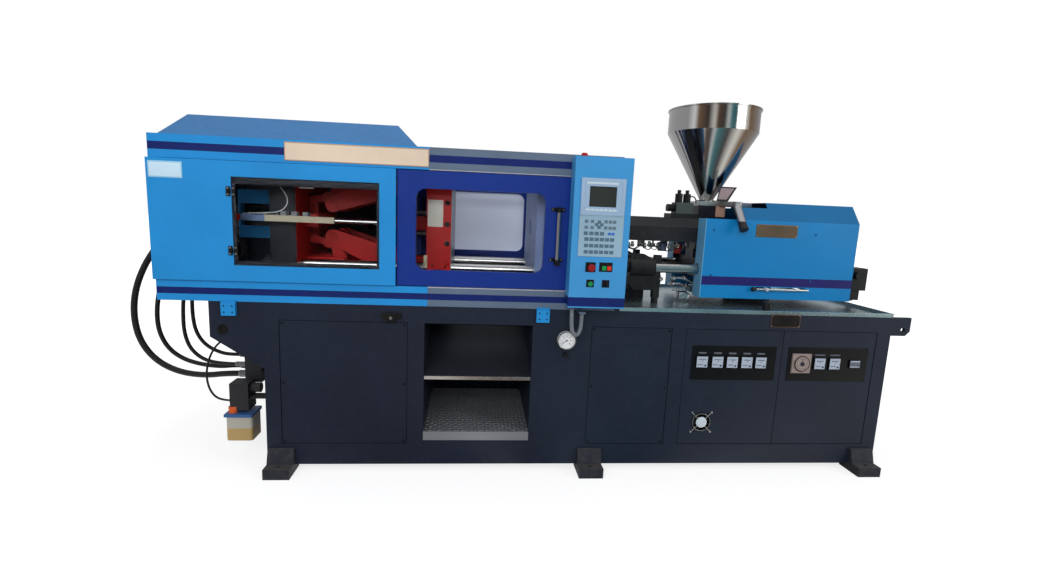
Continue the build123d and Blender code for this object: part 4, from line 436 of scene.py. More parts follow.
def dress(node, material):
    """Puts a finish on a node of the frame."""
    slots = parts[node].data.materials
    slots.clear()
    slots.append(material)


far = 9000


def level(low, high):
    """A box right through the machine between two heights."""
    return (-far, -far, low), (far, far, high)


# Bed. A welded steel bed in dark blue-grey paint, feet in the same paint with dusty tops, and
# steel worn bright on the chute lip. The floor of the parts bay is rolled with lozenges.
dress("bed_frame", coat("bed_paint", bed_paint, [
    ((-915, -540, 812), (-800, -500.5, 872), black),
    ((98, -600, 892), (138, -500.5, 904), rail_grey)], cloud=0.10))
feet_paint = skin(40, 42, 50, 0.6)
dress("levelling_feet", coat("feet_paint", feet_paint, dust=0.35, cloud=0.12, peel=0.4))
dress("drip_tray", coat("tray_steel", skin(160, 182, 186, 0.26, 0.9), dust=0.07, cloud=0.24))
cover_coat = coat("cover_paint", bed_paint, [
    ((-700, -510, 505), (-120, -484, 528), bright_steel),
    ((-700, -484, 505), (-120, 0, 720), dark_paint),
    ((-700, -496, 200), (-120, 110, 262), skin(136, 138, 144, 0.32, 0.5)),
    ((-700, -520, 170), (-120, -495.9, 262), skin(134, 136, 140, 0.45, 0.3))], cloud=0.10)
tread, enter, leave = new_group("lozenge_tread", (("Place", "Vector"),), (("Height", "Float"),))
floor_way = add(tread, "SeparateXYZ", {0: enter[0]}).outputs
lozenge_pitch = 0.044
waves = []
for sign in (1.0, -1.0):
    lean = worked(tread, "MULTIPLY_ADD", floor_way[1], sign, floor_way[0])
    swept = worked(tread, "MULTIPLY", lean, math.pi / lozenge_pitch)
    waves += [worked(tread, "ABSOLUTE", worked(tread, wave, swept)) for wave in ("COSINE", "SINE")]
lozenges = [worked(tread, "MULTIPLY", worked(tread, "POWER", short_way, 9.0), long_way)
            for long_way, short_way in ((waves[0], waves[2]), (waves[3], waves[1]))]
feed(tread, leave, {0: worked(tread, "MAXIMUM", *lozenges)})
tree = cover_coat.node_tree
shader = shader_of(tree)
place = add(tree, "TexCoord").outputs["Object"]
lozenge_here = add(tree, "Group", {0: place}, node_tree=tread).outputs[0]
bay_floor = inside(tree, place, (-695, -499, 200), (-129, 110, 262))
rolled = {
    "Height": worked(tree, "MULTIPLY", lozenge_here, bay_floor), "Distance": 0.016,
    "Strength": 1.0, "Normal": shader.inputs["Normal"].links[0].from_socket}
feed(tree, shader, {"Normal": add(tree, "Bump", rolled).outputs["Normal"]})
dress("bed_covers", cover_coat)


# Screws, plugs and plates of the bed. Pan-head screws hold the covers, rubber plugs close the
# left lifting lugs, and a bare copper plate is riveted to the front.
def settle(name):
    """Names the piece just made and moves its place and size into its mesh."""
    piece = bpy.context.object
    bpy.ops.object.transform_apply(location=True, rotation=True, scale=True)
    piece.name = name
    return piece


def roll_edges(piece, width):
    """Rolls the sharp edges of a piece by a width in millimetres."""
    edge = piece.modifiers.new("rolled_edge", "BEVEL")
    edge.width = width / 1000
    edge.segments = 2
    edge.limit_method = "ANGLE"
    edge.angle_limit = math.radians(40)
    bpy.context.view_layer.objects.active = piece
    bpy.ops.object.modifier_apply(modifier=edge.name)


def plate(name, low, high, edge=1.0):
    """A plate or block between two corners in millimetres, with rolled edges."""
    select()
    bpy.ops.mesh.primitive_cube_add(size=1, location=[(a + b) / 2000 for a, b in zip(low, high)])
    bpy.context.object.scale = [(b - a) / 1000 for a, b in zip(low, high)]
    piece = settle(name)
    roll_edges(piece, edge)
    return piece


def bar(name, start, end, radius, sides=24, edge=0.0):
    """A round or six-sided bar between two points in millimetres."""
    select()
    a, b = Vector(start) / 1000, Vector(end) / 1000
    bpy.ops.mesh.primitive_cylinder_add(
        vertices=sides, radius=radius / 1000, depth=(b - a).length, location=(a + b) / 2,
        rotation=(b - a).to_track_quat("Z", "Y").to_euler())
    piece = settle(name)
    if edge:
        roll_edges(piece, edge)
    return piece


def step_in(piece, border, rise):
    """Draws a border inside the front faces and raises or sinks what is inside it."""
    select(piece)
    bpy.ops.object.mode_set(mode="EDIT")
    bpy.ops.mesh.select_mode(type="FACE")
    bpy.ops.mesh.select_all(action="DESELECT")
    bpy.ops.object.mode_set(mode="OBJECT")
    for face in piece.data.polygons:
        face.select = face.normal.y < -0.99
    bpy.ops.object.mode_set(mode="EDIT")
    bpy.ops.mesh.inset(thickness=border / 1000)
    bpy.ops.mesh.inset(thickness=abs(rise) / 2000, depth=rise / 1000)
    bpy.ops.object.mode_set(mode="OBJECT")
    return piece


def copied(piece, shift):
    """A copy of a piece with a mesh of its own, moved by millimetres."""
    twin = piece.copy()
    twin.data = piece.data.copy()
    twin.data.transform(Matrix.Translation([v / 1000 for v in shift]))
    bpy.context.collection.objects.link(twin)
    return twin


def repeated(piece, shifts):
    """Copies of a piece, one for each shift, which stand in for the piece itself."""
    copies = [copied(piece, shift) for shift in shifts]
    bpy.data.objects.remove(piece)
    return copies


def joined(name, pieces):
    """One piece made of several that are fixed together."""
    select(*pieces)
    if len(pieces) > 1:
        bpy.ops.object.join()
    bpy.context.object.name = name
    return bpy.context.object


def painted(piece, material):
    piece.data.materials.clear()
    piece.data.materials.append(material)
    return piece


def fitted(piece, body, material=None):
    """Smooths a piece, gives it its finish and fixes it to the body that carries it."""
    if material:
        painted(piece, material)
    select(piece)
    bpy.ops.object.shade_smooth_by_angle(angle=math.radians(38))
    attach(piece, body)
    return piece


def fixed_plate(name, low, high, edge, border, rise, body, material):
    """A plate whose middle is sunk or raised inside a border, fixed to its body."""
    return fitted(step_in(plate(name, low, high, edge), border, rise), body, material)


def four(x0, x1, z0, z1):
    """The corners of an upright rectangle as (x, z)."""
    return [(x0, z0), (x0, z1), (x1, z0), (x1, z1)]


def pan_heads(name, places, radius, y, body, material):
    """Pan-head screws with a socket, facing the front, at places given as (x, z)."""
    head = bar("pan_head", (0, 0.6, 0), (0, -radius * 0.5, 0), radius, 14, radius * 0.3)
    step_in(head, radius * 0.3, -radius * 0.3)
    heads = repeated(head, [(x, y, z) for x, z in places])
    return fitted(joined(name, heads), body, material)


screw_black = coat("screw_black", skin(22, 22, 26, 0.4, 0.6), dust=0.05)
screw_zinc = coat("screw_zinc", skin(176, 178, 176, 0.3, 1.0), dust=0.03)
rubber_black = coat("plug_rubber", skin(14, 14, 16, 0.6), dust=0.1)
cover_edges = [(x, z) for x in (-1408, -796, 203, 615) for z in (168, 484, 799)]
pan_heads("cover_screws", cover_edges, 6, -498, "bed", screw_black)
plug = step_in(bar("lug_plug", (-1694, -499.4, 759), (-1694, -481, 759), 27, 28, 1.5), 7, -3)
plugs = joined("lug_plugs", [plug, copied(plug, (0, 980.4, 0))])
fitted(plugs, "bed", rubber_black)
copper = coat("bare_copper", skin(104, 78, 64, 0.42, 0.5), [
    ((1188, -503, 838), (1347, -500, 901), skin(34, 24, 26, 0.34, 0.5))], cloud=0.5, dust=0.1)
fixed_plate("bare_copper_plate", (1183, -502, 833), (1352, -499.9, 906), 0.6, 4, -0.5, "bed",
            copper)
pan_heads("copper_plate_rivets", four(1190, 1345, 840, 899), 3, -501.8, "bed",
          screw_zinc)

# Guard. Blue rails over the clamp and grey rails over the mould, each with a navy stripe, a
# folded blue roof, blue panels, and painted shade on the inside faces.
# A dark grey-navy finish for the inside faces of the guard: painted shade, not a paint of its own.
painted_shade_inside = skin(24, 29, 44, 0.5)
rail_stripes = [(*level(1627, 1663), stripe_navy), (*level(937, 970), stripe_navy)]
# The inside of the left rails gets the painted shade.
dress("guard_rails_left", coat("rail_blue", sky_blue, rail_stripes + [
    ((-1996.9, -495.9, 903.1), (-600, 495.9, 1695.9), painted_shade_inside)]))
dress("guard_rails_right", coat("rail_grey", rail_grey, rail_stripes + [
    (*level(1588, 1593), skin(186, 186, 196, 0.4)),
    (*level(1000, 1004.5), skin(176, 178, 190, 0.4))], cloud=0.10))
dress("roof_cover", coat("roof_blue", skin(8, 108, 170, 0.42)))
# The inside faces of the panels get the painted shade.
dress("clamp_panels", coat("panel_blue", sky_blue, [
    ((-2002.9, -511.1, 1007.2), (-842.1, -400, 1587.8), painted_shade_inside),
    ((-2002.9, 400, 1007.2), (-842.1, 511.1, 1587.8), painted_shade_inside),
    ((-1641, -530, 1421), (-1619, -514.05, 1467), black),
    ((-1641, -530, 1136), (-1619, -514.05, 1182), black)], dust=0.05))

# Plates and fittings of the guard. A bare cream nameplate and a bare white label, black hinge
# pads with four screws, a dark seal round the window, and bolts on the blue blocks.
cream = coat("nameplate_cream", skin(178, 150, 128, 0.45), [
    ((-1368, -510, 1607), (-687, -499, 1686), skin(222, 202, 180, 0.45))], dust=0.03)
fixed_plate("bare_nameplate", (-1373, -503, 1602), (-682, -499.9, 1691), 1.0, 4, -0.8, "bed",
            cream)
label_white = coat("label_white", skin(150, 200, 228, 0.5), [
    ((-1987, -520, 1502), (-1845, -510, 1566), skin(196, 222, 238, 0.5))], dust=0.02)
fixed_plate("bare_label", (-1993, -515.2, 1495), (-1838, -513.9, 1573), 0.5, 4, -0.3, "bed",
            label_white)
hinge_heights = (1444, 1159)
pad_back, pad_front = -518.8, -521.5
for body, x0, x1 in (("bed", -1642, -1625), ("window_door", -1615, -1598)):
    pads = [plate("hinge_pad", (x0, pad_front, z - 23), (x1, pad_back, z + 23), 1.2)
            for z in hinge_heights]
    hinge_plastic = coat(f"hinge_plastic_{body}", black)
    fitted(joined(f"hinge_pads_{body}", pads), body, hinge_plastic)
    places = [((x0 + x1) / 2, z + s) for z in hinge_heights for s in (-15, 15)]
    pan_heads(f"hinge_screws_{body}", places, 4.5, pad_front, body, screw_zinc)
seal_rubber = coat("window_seal", skin(30, 33, 42, 0.55), dust=0.04)
seal_strips = [plate("seal", (x0, -505.5, z0), (x1, -500.5, z1), 1.5) for x0, x1, z0, z1 in (
    (-1620, -922, 1480, 1514), (-1620, -922, 1087, 1108), (-1620, -1604, 1107, 1481),
    (-936, -922, 1107, 1481))]
fitted(joined("window_seal", seal_strips), "bed", seal_rubber)
block_bolts = [(x + s, z) for x in (-1657, -80) for s in (-20, 20) for z in (852, 884)]
pan_heads("block_bolts", block_bolts, 4, -519.9, "bed", screw_black)
latch_bolt = step_in(bar("latch_bolt", (-864, -512, 841), (-864, -524, 841), 9, 6, 1.2), 3, -3)
fitted(latch_bolt, "bed", screw_zinc)

# Gates and doors. Navy sliding gates, the rear one glazed with an opaque lilac sheet that glows
# with a painted backlight, a chromed handle on black feet, and dark doors with black instrument
# plates.
dress("operator_gate", coat("gate_navy", navy, [
    ((-34, -545, 1130), (-14, -494.1, 1440), skin(170, 168, 172, 0.28, 1.0)),
    ((-40, -545, 1130), (0, -494.1, 1166), black),
    ((-40, -545, 1407), (0, -494.1, 1440), black)], dust=0.04))
dress("rear_gate", coat("rear_gate_navy", navy, [
    ((-40, 494.1, 1130), (0, 545, 1440), steel),
    ((-40, 494.1, 1130), (0, 545, 1166), black),
    ((-40, 494.1, 1407), (0, 545, 1440), black)], dust=0.04))
handle_ends = (1422, 1164)
feet = [plate("handle_foot", (-62, -497, z - 9), (12, -493.9, z + 9), 1.5) for z in handle_ends]
fitted(joined("handle_feet", feet), "operator_gate", coat("handle_black", black))
pan_heads("handle_screws", four(-54, 4, *handle_ends), 4.5, -496.9,
          "operator_gate", screw_zinc)
lilac = coat("lilac_sheet", skin(214, 220, 236, 0.5), dust=0.02, cloud=0.02)
# The sheet gets a light base and a faint emission: a painted backlight glow, as if lit from behind.
painted_backlight_glow = {"Emission Color": linear(176, 182, 200), "Emission Strength": 0.33}
feed(lilac.node_tree, shader_of(lilac.node_tree), painted_backlight_glow)
fixed_plate("rear_gate_sheet", (-755, 487.6, 1115), (-102, 491, 1527), 0.8, 12, -0.5, "rear_gate",
            lilac)
door_coat = coat("door_paint", bed_paint, [
    ((700, -492, 200), (1000, -440, 360), black)], cloud=0.10)
dress("meter_door_left", door_coat)
dress("meter_door_right", door_coat)
bank_black = skin(9, 9, 12, 0.30)
dress("meter_bank_left", coat("bank_black_left", bank_black, dust=0.0, peel=0.0))
dress("meter_bank_right", coat("bank_black_right", bank_black, [
    ((1325, -516.9, 575), (1443, -501, 690), skin(122, 110, 106, 0.45))], dust=0.0, peel=0.0))
dress("fan_rotor", coat("fan_black", black))

# Meters. Square controllers with a pale face, a scale, a pointer, a text window and a small
# knob, and a bare tag over each one. The timer has a ticked dial and the counter five wheels.
face_paint = coat("meter_face_paint", skin(170, 182, 198, 0.35), dust=0.0, cloud=0.02)
mark_black = coat("meter_mark_black", skin(40, 44, 52, 0.4), dust=0.0)
tag_white = coat("meter_tag", skin(96, 100, 108, 0.5), dust=0.0)


left_meters = (811, 899, 983, 1067, 1148)
right_meters = (1494, 1583)
timer_x, meter_z = 1384, 632


def swung(piece, degrees, x=0, z=0):
    """Turns a piece like a clock hand about the origin and moves it to x and z."""
    turned = Matrix.Rotation(math.radians(degrees), 4, "Y")
    piece.data.transform(Matrix.Translation((x / 1000, 0, z / 1000)) @ turned)
    return piece


def make_meter():
    """One controller face about the origin, its back at y = 0."""
    face = step_in(plate("face", (-31, -1.4, -31), (31, 0.3, 31), 0.8), 3, -0.5)
    marks = [plate("scale", (-20, -1.5, 13), (20, -0.8, 15), 0.2),
             plate("window", (-24, -1.6, -16), (6, -0.8, -13), 0.2),
             bar("knob", (18, -0.5, -19), (18, -5, -19), 4.5, 16, 0.8)]
    marks += [plate("tick", (x - 0.6, -1.5, 15), (x + 0.6, -0.8, 19), 0.1)
              for x in range(-18, 19, 6)]
    marks.append(swung(plate("pointer", (-0.7, -1.8, 0), (0.7, -0.9, 13), 0.1), 24))
    return joined("meter", [painted(face, face_paint), painted(joined("marks", marks), mark_black)])


meter = make_meter()
left_faces = [copied(meter, (x, -507.2, meter_z)) for x in left_meters]
right_faces = [copied(meter, (x, -507.2, meter_z)) for x in right_meters]
bpy.data.objects.remove(meter)
left_faces += [painted(plate("tag", (x - 22, -501.6, 676), (x + 22, -500.9, 686), 0.2), tag_white)
               for x in left_meters]
fitted(joined("left_meter_faces", left_faces), "meter_door_left")
dial_cream = coat("timer_dial", skin(148, 134, 128, 0.45), dust=0.0)
dial_disc = bar("timer_disc", (timer_x, -516.5, meter_z), (timer_x, -518.2, meter_z), 40, 48, 0.5)
timer_frame = plate("timer_frame", (1330, -510.4, 578), (1438, -508.5, 686), 1)
timer = [painted(step_in(dial_disc, 5, -0.6), dial_cream),
         painted(step_in(timer_frame, 5, -0.8), dial_cream)]
hands = [bar("timer_hub", (timer_x, -517, meter_z), (timer_x, -524, meter_z), 12, 24, 2),
         plate("hand", (1383, -519.6, 632), (1385, -518.6, 662), 0.3)]
for hour in range(12):
    tick = plate("tick", (-0.9, -518.9, 27), (0.9, -517.4, 34), 0.2)
    hands.append(swung(tick, hour * 30, timer_x, meter_z))
timer += [painted(piece, mark_black) for piece in hands]
counter = [plate("wheel", (x, -508.6, 620), (x + 10, -506.5, 644), 0.8)
           for x in (1676, 1687.4, 1698.8, 1710.2, 1721.6)]
counter += [plate("tag", (x - 30, -501.6, 676), (x + 30, -500.9, 684), 0.2) for x in right_meters]
right_faces += timer + [painted(piece, tag_white) for piece in counter]
counter_face = plate("counter_face", (1672, -507.6, 610), (1736, -506.6, 654), 0.4)
right_faces.append(painted(counter_face, face_paint))
fitted(joined("right_meter_faces", right_faces), "meter_door_right")
for name, x0, x1 in (("left", 754, 1236), ("right", 1308, 1779)):
    middle = (x0 + x1) / 2
    places = four(x0 + 10, x1 - 10, 539, 712) + [(middle, 714), (middle, 537)]
    pan_heads(f"bank_screws_{name}", places, 3.5, -500.9, f"meter_door_{name}",
              screw_black)

# Fan guard. Chromed wire on the door over the fan: two rings, four arms to the corners, and a
# domed disc in the middle painted near-white as painted light showing through the fan.
def ring(name, centre, radius, thickness, steps, wire_steps=8, lean=math.pi / 2):
    """A ring of round wire that faces the front, or lies flat with a lean of 0."""
    select()
    bpy.ops.mesh.primitive_torus_add(
        location=[v / 1000 for v in centre], rotation=(lean, 0, 0), major_radius=radius / 1000,
        minor_radius=thickness / 1000, major_segments=steps, minor_segments=wire_steps)
    return settle(name)


fan_x, fan_z = 841, 283
guard_pieces = [ring("guard_ring", (fan_x, -503.5, fan_z), radius, 1.6, 48) for radius in (24, 50)]
for across, up in ((1, 1), (1, -1), (-1, 1), (-1, -1)):
    start = (fan_x + across * 18, -503.5, fan_z + up * 18)
    x, z = fan_x + across * 57, fan_z + up * 57
    guard_pieces.append(bar("guard_arm", start, (x, -500.5, z), 2.4, 10))
    guard_pieces.append(bar("guard_eye", (x, -497.6, z), (x, -502.6, z), 6, 16, 1))
disc = bar("guard_disc", (fan_x, -501, fan_z), (fan_x, -507, fan_z), 31, 40, 2.5)
# The near-white disc stands for light seen through the fan from behind: painted light.
painted_light_disc = coat("disc_painted_light", skin(222, 232, 240, 0.3, 0.35), dust=0.0)
guard_pieces.append(step_in(disc, 6, 2.0))
chrome_plate = coat("chrome_plate", chrome, dust=0.0, cloud=0.0, peel=0.02)
for piece in guard_pieces:
    painted(piece, chrome_plate)
painted(guard_pieces[-1], painted_light_disc)
fitted(joined("fan_guard", guard_pieces), "meter_door_left")


# Clear sheets. Clear plastic in the windows, faintly grey, so that the clamp shows through.
pane_clear, tree, shader = new_material("window_clear")
feed(tree, shader, {"Base Color": (0.93, 0.95, 0.96, 1), "Roughness": 0.02,
                    "Transmission Weight": 1.0, "IOR": 1.06})
dress("gate_pane", pane_clear)
dress("window_door", pane_clear)

# Control cabinet. Sky-blue sheet steel with a navy stripe and a red lamp. Two black button
# plates and two grey shields sit under the keypad.
shield = skin(26, 28, 34, 0.40, 0.2)
dress("control_cabinet", coat("cabinet_blue", skin(64, 146, 204, 0.34), [
    (*level(942, 989), stripe_navy),
    ((60, -600, 1685.5), (110, -500, 1720), signal_red),
    ((108, -620, 1119), (160, -600, 1169), black),
    ((178, -620, 1122), (247, -600, 1170), black),
    ((117, -620, 1042), (157, -600, 1081), shield),
    ((197, -620, 1042), (236, -600, 1081), shield)], dust=0.03, cloud=0.05))

# Keypad. A moulded bezel with a sunk screen, and under it a membrane with raised keys in rows,
# an arrow cross, and two blue keys.
bezel_plastic = coat("bezel_plastic", skin(150, 176, 202, 0.42), dust=0.02)
membrane = coat("key_membrane", skin(142, 172, 190, 0.45), dust=0.0)
key_pale = coat("key_pale", skin(196, 212, 222, 0.45), dust=0.0)
key_grey = coat("key_grey", skin(96, 116, 132, 0.45), dust=0.0)
key_number = coat("key_number", skin(82, 108, 124, 0.45), dust=0.0)
key_blue = coat("key_blue", skin(60, 110, 190, 0.45), dust=0.0)
screen_dark = coat("screen_dark", skin(40, 44, 42, 0.12), dust=0.0, peel=0.0)
cabinet_face = -609.9
bezel = step_in(plate("bezel", (64, -616.5, 1400), (288, cabinet_face, 1583), 3), 16, -1.4)
sheet = step_in(plate("membrane", (64, -613.6, 1197), (288, cabinet_face, 1401), 1.5), 5, -0.4)
screen = step_in(plate("screen", (107, -616.0, 1444), (242, -614.0, 1543), 1), 5, -0.6)
light_strip = plate("light_strip", (90, -616.2, 1553), (249, -614.4, 1566), 1)
keypad_pieces = [painted(bezel, bezel_plastic), painted(sheet, membrane),
                 painted(screen, screen_dark), painted(light_strip, key_pale)]


def make_key(name, width, height, finish):
    """A raised key about the origin, its back at y = 0 and a shallow dish in its face."""
    key = plate(name, (-width / 2, -1.6, -height / 2), (width / 2, 0.3, height / 2), 0.9)
    return painted(step_in(key, 1.6, -0.4), finish)


first_keys = {
    "function": make_key("function_key", 19, 11, key_pale),
    "lower": make_key("lower_key", 19, 8, key_grey),
    "field": make_key("field_key", 21, 17, key_number),
    "blue": make_key("blue_key", 16, 13, key_blue),
    "square": make_key("square_key", 17, 15, key_grey)}
seven_across = [102 + i * 22.5 for i in range(7)]
six_across = [104 + i * 26 for i in range(6)]
beside_arrows = [100, 129, 198, 220, 241]
rows = [("function", 1428, seven_across), ("lower", 1410, seven_across),
        ("square", 1372, beside_arrows), ("square", 1342, beside_arrows),
        ("field", 1313, [99, 127, 154, 181]), ("blue", 1313, [218, 237]),
        ("field", 1284, six_across), ("field", 1252, six_across), ("field", 1221, six_across)]
keys = [copied(first_keys[kind], (x, -614.6 if z > 1402 else -613.0, z)) for kind, z, places in rows
        for x in places]
for across, up in ((0, 13), (0, -13), (13, 0), (-13, 0)):
    arrow = copied(first_keys["square"], (164 + across, -613.0, 1357 + up))
    keys.append(painted(arrow, key_number))
for key in first_keys.values():
    bpy.data.objects.remove(key)
keypad_panel = fitted(joined("keypad_panel", keypad_pieces + keys), "bed")
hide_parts("keypad")

# Buttons. A red mushroom head, square green and orange caps under one guard, a green cycle
# button and a black switch.
dress("emergency_stop", coat("stop_red", skin(140, 20, 26, 0.28), dust=0.0))
cap_colours = {"start": coat("start_green", skin(26, 150, 70, 0.3), dust=0.0),
               "stop": coat("stop_orange", skin(214, 58, 34, 0.3), dust=0.0)}
for name, x, slot in (("start", 192.5, "green_plastic"), ("stop", 218.5, "red_plastic")):
    cap = fixed_plate(f"{name}_cap", (x, -619.5, 1130), (x + 21, -601, 1152), 2, 3, -0.8,
                      f"{name}_button", cap_colours[name])
    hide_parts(f"{name}_button")
dress("cycle_button", coat("cycle_green", skin(22, 136, 74, 0.3), dust=0.0))
dress("mode_switch", coat("switch_black", black, dust=0.0))

# Clamp. Dark rear platen with a red face, red links, crosshead and moving platen, a grey-blue
# fixed platen, chromed bars with black nuts, and blue arms that steady the cylinder.
dress("tail_platen", coat("tail_paint", skin(18, 22, 34, 0.46), [
    ((-1386, -400, 900), (-1100, 400, 1700), signal_red)], dust=0.02, cloud=0.12))
dress("moving_platen", coat("platen_red", signal_red, [
    ((-576, -400, 900), (-570, 400, 1700), steel)], dust=0.02, cloud=0.12))
dress("stationary_platen", coat("platen_grey", platen_grey, dust=0.12, cloud=0.14))
link_red = coat("link_red", signal_red, dust=0.02, cloud=0.14)
for link in ("rear_link", "front_link", "crosshead_link"):
    dress(f"{link}_upper", link_red)
    dress(f"{link}_lower", link_red)
dress("crosshead", coat("crosshead_paint", signal_red, [
    ((-1950, -40, 1270), (-1379, 40, 1350), chrome),
    ((-1330, -210, 1170), (-1300, 210, 1275), dark_paint),
    ((-1330, -210, 1370), (-1300, 210, 1450), dark_paint)], dust=0.02, cloud=0.12))
dress("clamp_cylinder", coat("cylinder_paint", dark_paint, [
    ((-1745, -160, 1190), (-1519, -100, 1470), skin(40, 128, 188, 0.38))]))
dress("tie_bars", coat("bar_chrome", chrome, [
    ((-1600, -300, 1000), (-1519.9, 300, 1620), dark_paint),
    ((21.9, -300, 1000), (100, 300, 1620), dark_paint)], dust=0.0, cloud=0.02, peel=0.02))
dress("guide_rods", coat("rod_chrome", chrome, [
    ((-960, -210, 1260), (-938, 210, 1350), dark_paint)], dust=0.0, cloud=0.02, peel=0.02))
dress("ejector", coat("ejector_steel", steel))
dress("position_rail", coat("rail_beige", beige, [
    ((-1700, -400, 1290), (-1516, -300, 1345), skin(92, 112, 146, 0.4, 0.2)),
    ((-1700, -400, 1290), (-1636, -300, 1345), signal_red)], dust=0.05))

# Fittings of the clamp. A bare pale plate and dark bolts on the moving platen's side, a cream
# block under them, a bright strip on the rear platen, and a white cable clipped along the rail.
platen_side = -309.8
label_pale = coat("platen_label_paint", skin(206, 200, 190, 0.45), dust=0.03)
fixed_plate("platen_label", (-702, -311.2, 1304), (-620, -309.9, 1447), 0.6, 3, -0.3,
            "moving_platen", label_pale)
big_bolt = step_in(bar("side_bolt", (-597, platen_side, 0), (-597, -321, 0), 15, 6, 2), 5, -4)
bolts = repeated(big_bolt, [(0, 0, z) for z in (1433, 1319, 1216)])
fitted(joined("platen_side_bolts", bolts), "moving_platen", screw_black)
small_screws = [(-715, 1370), (-712, 1496), (-674, 1092), (-604, 1089)]
pan_heads("platen_small_screws", small_screws, 6, platen_side, "moving_platen",
          screw_black)
limit_cream = coat("limit_cream", skin(202, 190, 160, 0.45))
fixed_plate("limit_block", (-720, -330, 1080), (-701, platen_side, 1150), 2, 3, -2,
            "moving_platen", limit_cream)
fixed_plate("platen_strip", (-1365, -312, 1476), (-1294, platen_side, 1494), 0.8, 3, -0.4, "bed",
            coat("strip_steel", bright_steel, dust=0.03))


def wire(name, points, radius):
    """A wire or pipe that is clipped down at both ends, as a mesh along a smooth line."""
    select(route(name, points, radius))
    bpy.ops.object.convert(target="MESH")
    return bpy.context.object


white_jacket = coat("white_jacket", skin(206, 210, 214, 0.5), dust=0.05)
rail_cable = wire("rail_cable", [
    (-1448, -352, 1478), (-1424, -358, 1452), (-1405, -366, 1413), (-1417, -370, 1376),
    (-1449, -374, 1352), (-1512, -376, 1344), (-1582, -376, 1341), (-1630, -376, 1338)], 2.4)
fitted(rail_cable, "bed", white_jacket)
rail_top = 1334.5
clips = [step_in(plate("rail_clip", (x - 14, -378, rail_top), (x + 14, -330, 1356), 2), 4, -1)
         for x in (-1428, -1375, -1318)]
for x in (-1600, -1520, -1460):
    clip = plate("cable_clip", (x - 5, -381, rail_top), (x + 5, -366, 1343), 1.5)
    clips.append(step_in(clip, 1.5, -0.5))
clip_grey = coat("clip_grey", skin(128, 132, 140, 0.5))
fitted(joined("rail_clips", clips), "bed", clip_grey)
hinge_cable = wire("hinge_cable", [
    (-1607, -506, 1219), (-1596, -506, 1204), (-1576, -507, 1184), (-1572, -507, 1165),
    (-1582, -507, 1142), (-1600, -506, 1122), (-1607, -506, 1114)], 2.2)
fitted(hinge_cable, "bed", coat("cable_black", black, dust=0.02))

# Injection unit. Black castings, a bright screw barrel with heater bands, and the blue sheet
# cover with its navy stripe. The hopper is polished stainless sheet on a steel slide plate.
bracket_black = skin(24, 25, 28, 0.44)
dress("carriage_brackets", coat("bracket_black", bracket_black, dust=0.12))
dress("throat_block", coat("throat_black", skin(20, 22, 32, 0.40), [
    ((1000, -90, 1420), (1070, 90, 1490), skin(182, 142, 124, 0.36, 0.2))], dust=0.08))
dress("barrel", coat("barrel_steel", skin(132, 132, 132, 0.4, 1.0), cloud=0.2))
dress("screw", coat("screw_chrome", chrome))
dress("push_plate", coat("thrust_black", dark_paint))
dress("stroke_pointer", coat("pointer_steel", bright_steel, [
    ((1150, -320, 990), (1190, -280, 1040), black)]))
cover_side = skin(10, 122, 184, 0.38)
dress("injection_cover", coat("cover_blue", cover_side, [
    (*level(1029, 1080), skin(28, 26, 98, 0.38)),
    # The top slope from z 1409.5 to 1513 is painted a darker blue than the side: painted shade.
    (*level(1409.5, 1513), skin(4, 100, 152, 0.40)),
    # A narrow lighter band along the fold at x 859 to 864.5: a painted highlight.
    ((859, -281, 952), (864.5, 281, 1513), skin(96, 158, 196, 0.4))], dust=0.02, cloud=0.05))
dress("barrel_cover", coat("barrel_cover_black", skin(30, 32, 36, 0.46), dust=0.12))
dress("valve_stack", coat("valve_black", skin(20, 21, 24, 0.42), [
    ((748, -120, 1430), (854, 0, 1496), skin(76, 84, 84, 0.45, 0.5))], dust=0.10))
dress("hopper", coat("hopper_stainless", stainless, dust=0.0, cloud=0.02, peel=0.02))
dress("hopper_base", coat("base_steel", skin(176, 178, 180, 0.3, 1.0), [
    ((1140, -100, 1470), (1230, 100, 1512), skin(112, 124, 142, 0.4, 0.6)),
    ((980, -400, 1330), (1090, -300, 1400), black),
    ((985, -95, 1511), (1135, -84, 1605), skin(158, 140, 142, 0.15)),
    ((985, -95, 1511), (1135, -87.8, 1605), black)]))
dress("slide_gate", coat("slide_steel", skin(214, 218, 222, 0.38, 0.8)))

# Cover fittings. Screws along the cover's side, a bare brass plate with four rivets, and a
# black ball and a light knob on the stroke pointer.
pan_heads("cover_side_screws", [(913, 1345), (917, 1086), (1527, 1339), (1527, 1067)], 7, -279.9,
          "carriage", coat("cover_screw_blue", skin(8, 88, 140, 0.4)))
brass_coat = coat("bare_brass", brass, [
    ((1168, -290, 1320), (1407, -279, 1383), skin(104, 88, 68, 0.44, 0.6))], cloud=0.35, dust=0.05)
fixed_plate("bare_brass_plate", (1162, -282, 1315), (1413, -279.9, 1388), 0.6, 4, -0.4, "carriage",
            brass_coat)
pan_heads("brass_plate_rivets", four(1169, 1406, 1322, 1381), 3.5, -281.8, "carriage",
          screw_zinc)
knob = step_in(bar("pointer_knob", (1252, -296, 1014), (1252, -313, 1014), 11, 20, 3), 3, -1)
knob_light = coat("knob_light", skin(196, 198, 202, 0.35, 0.3), dust=0.0)
fitted(knob, "push_plate", knob_light)

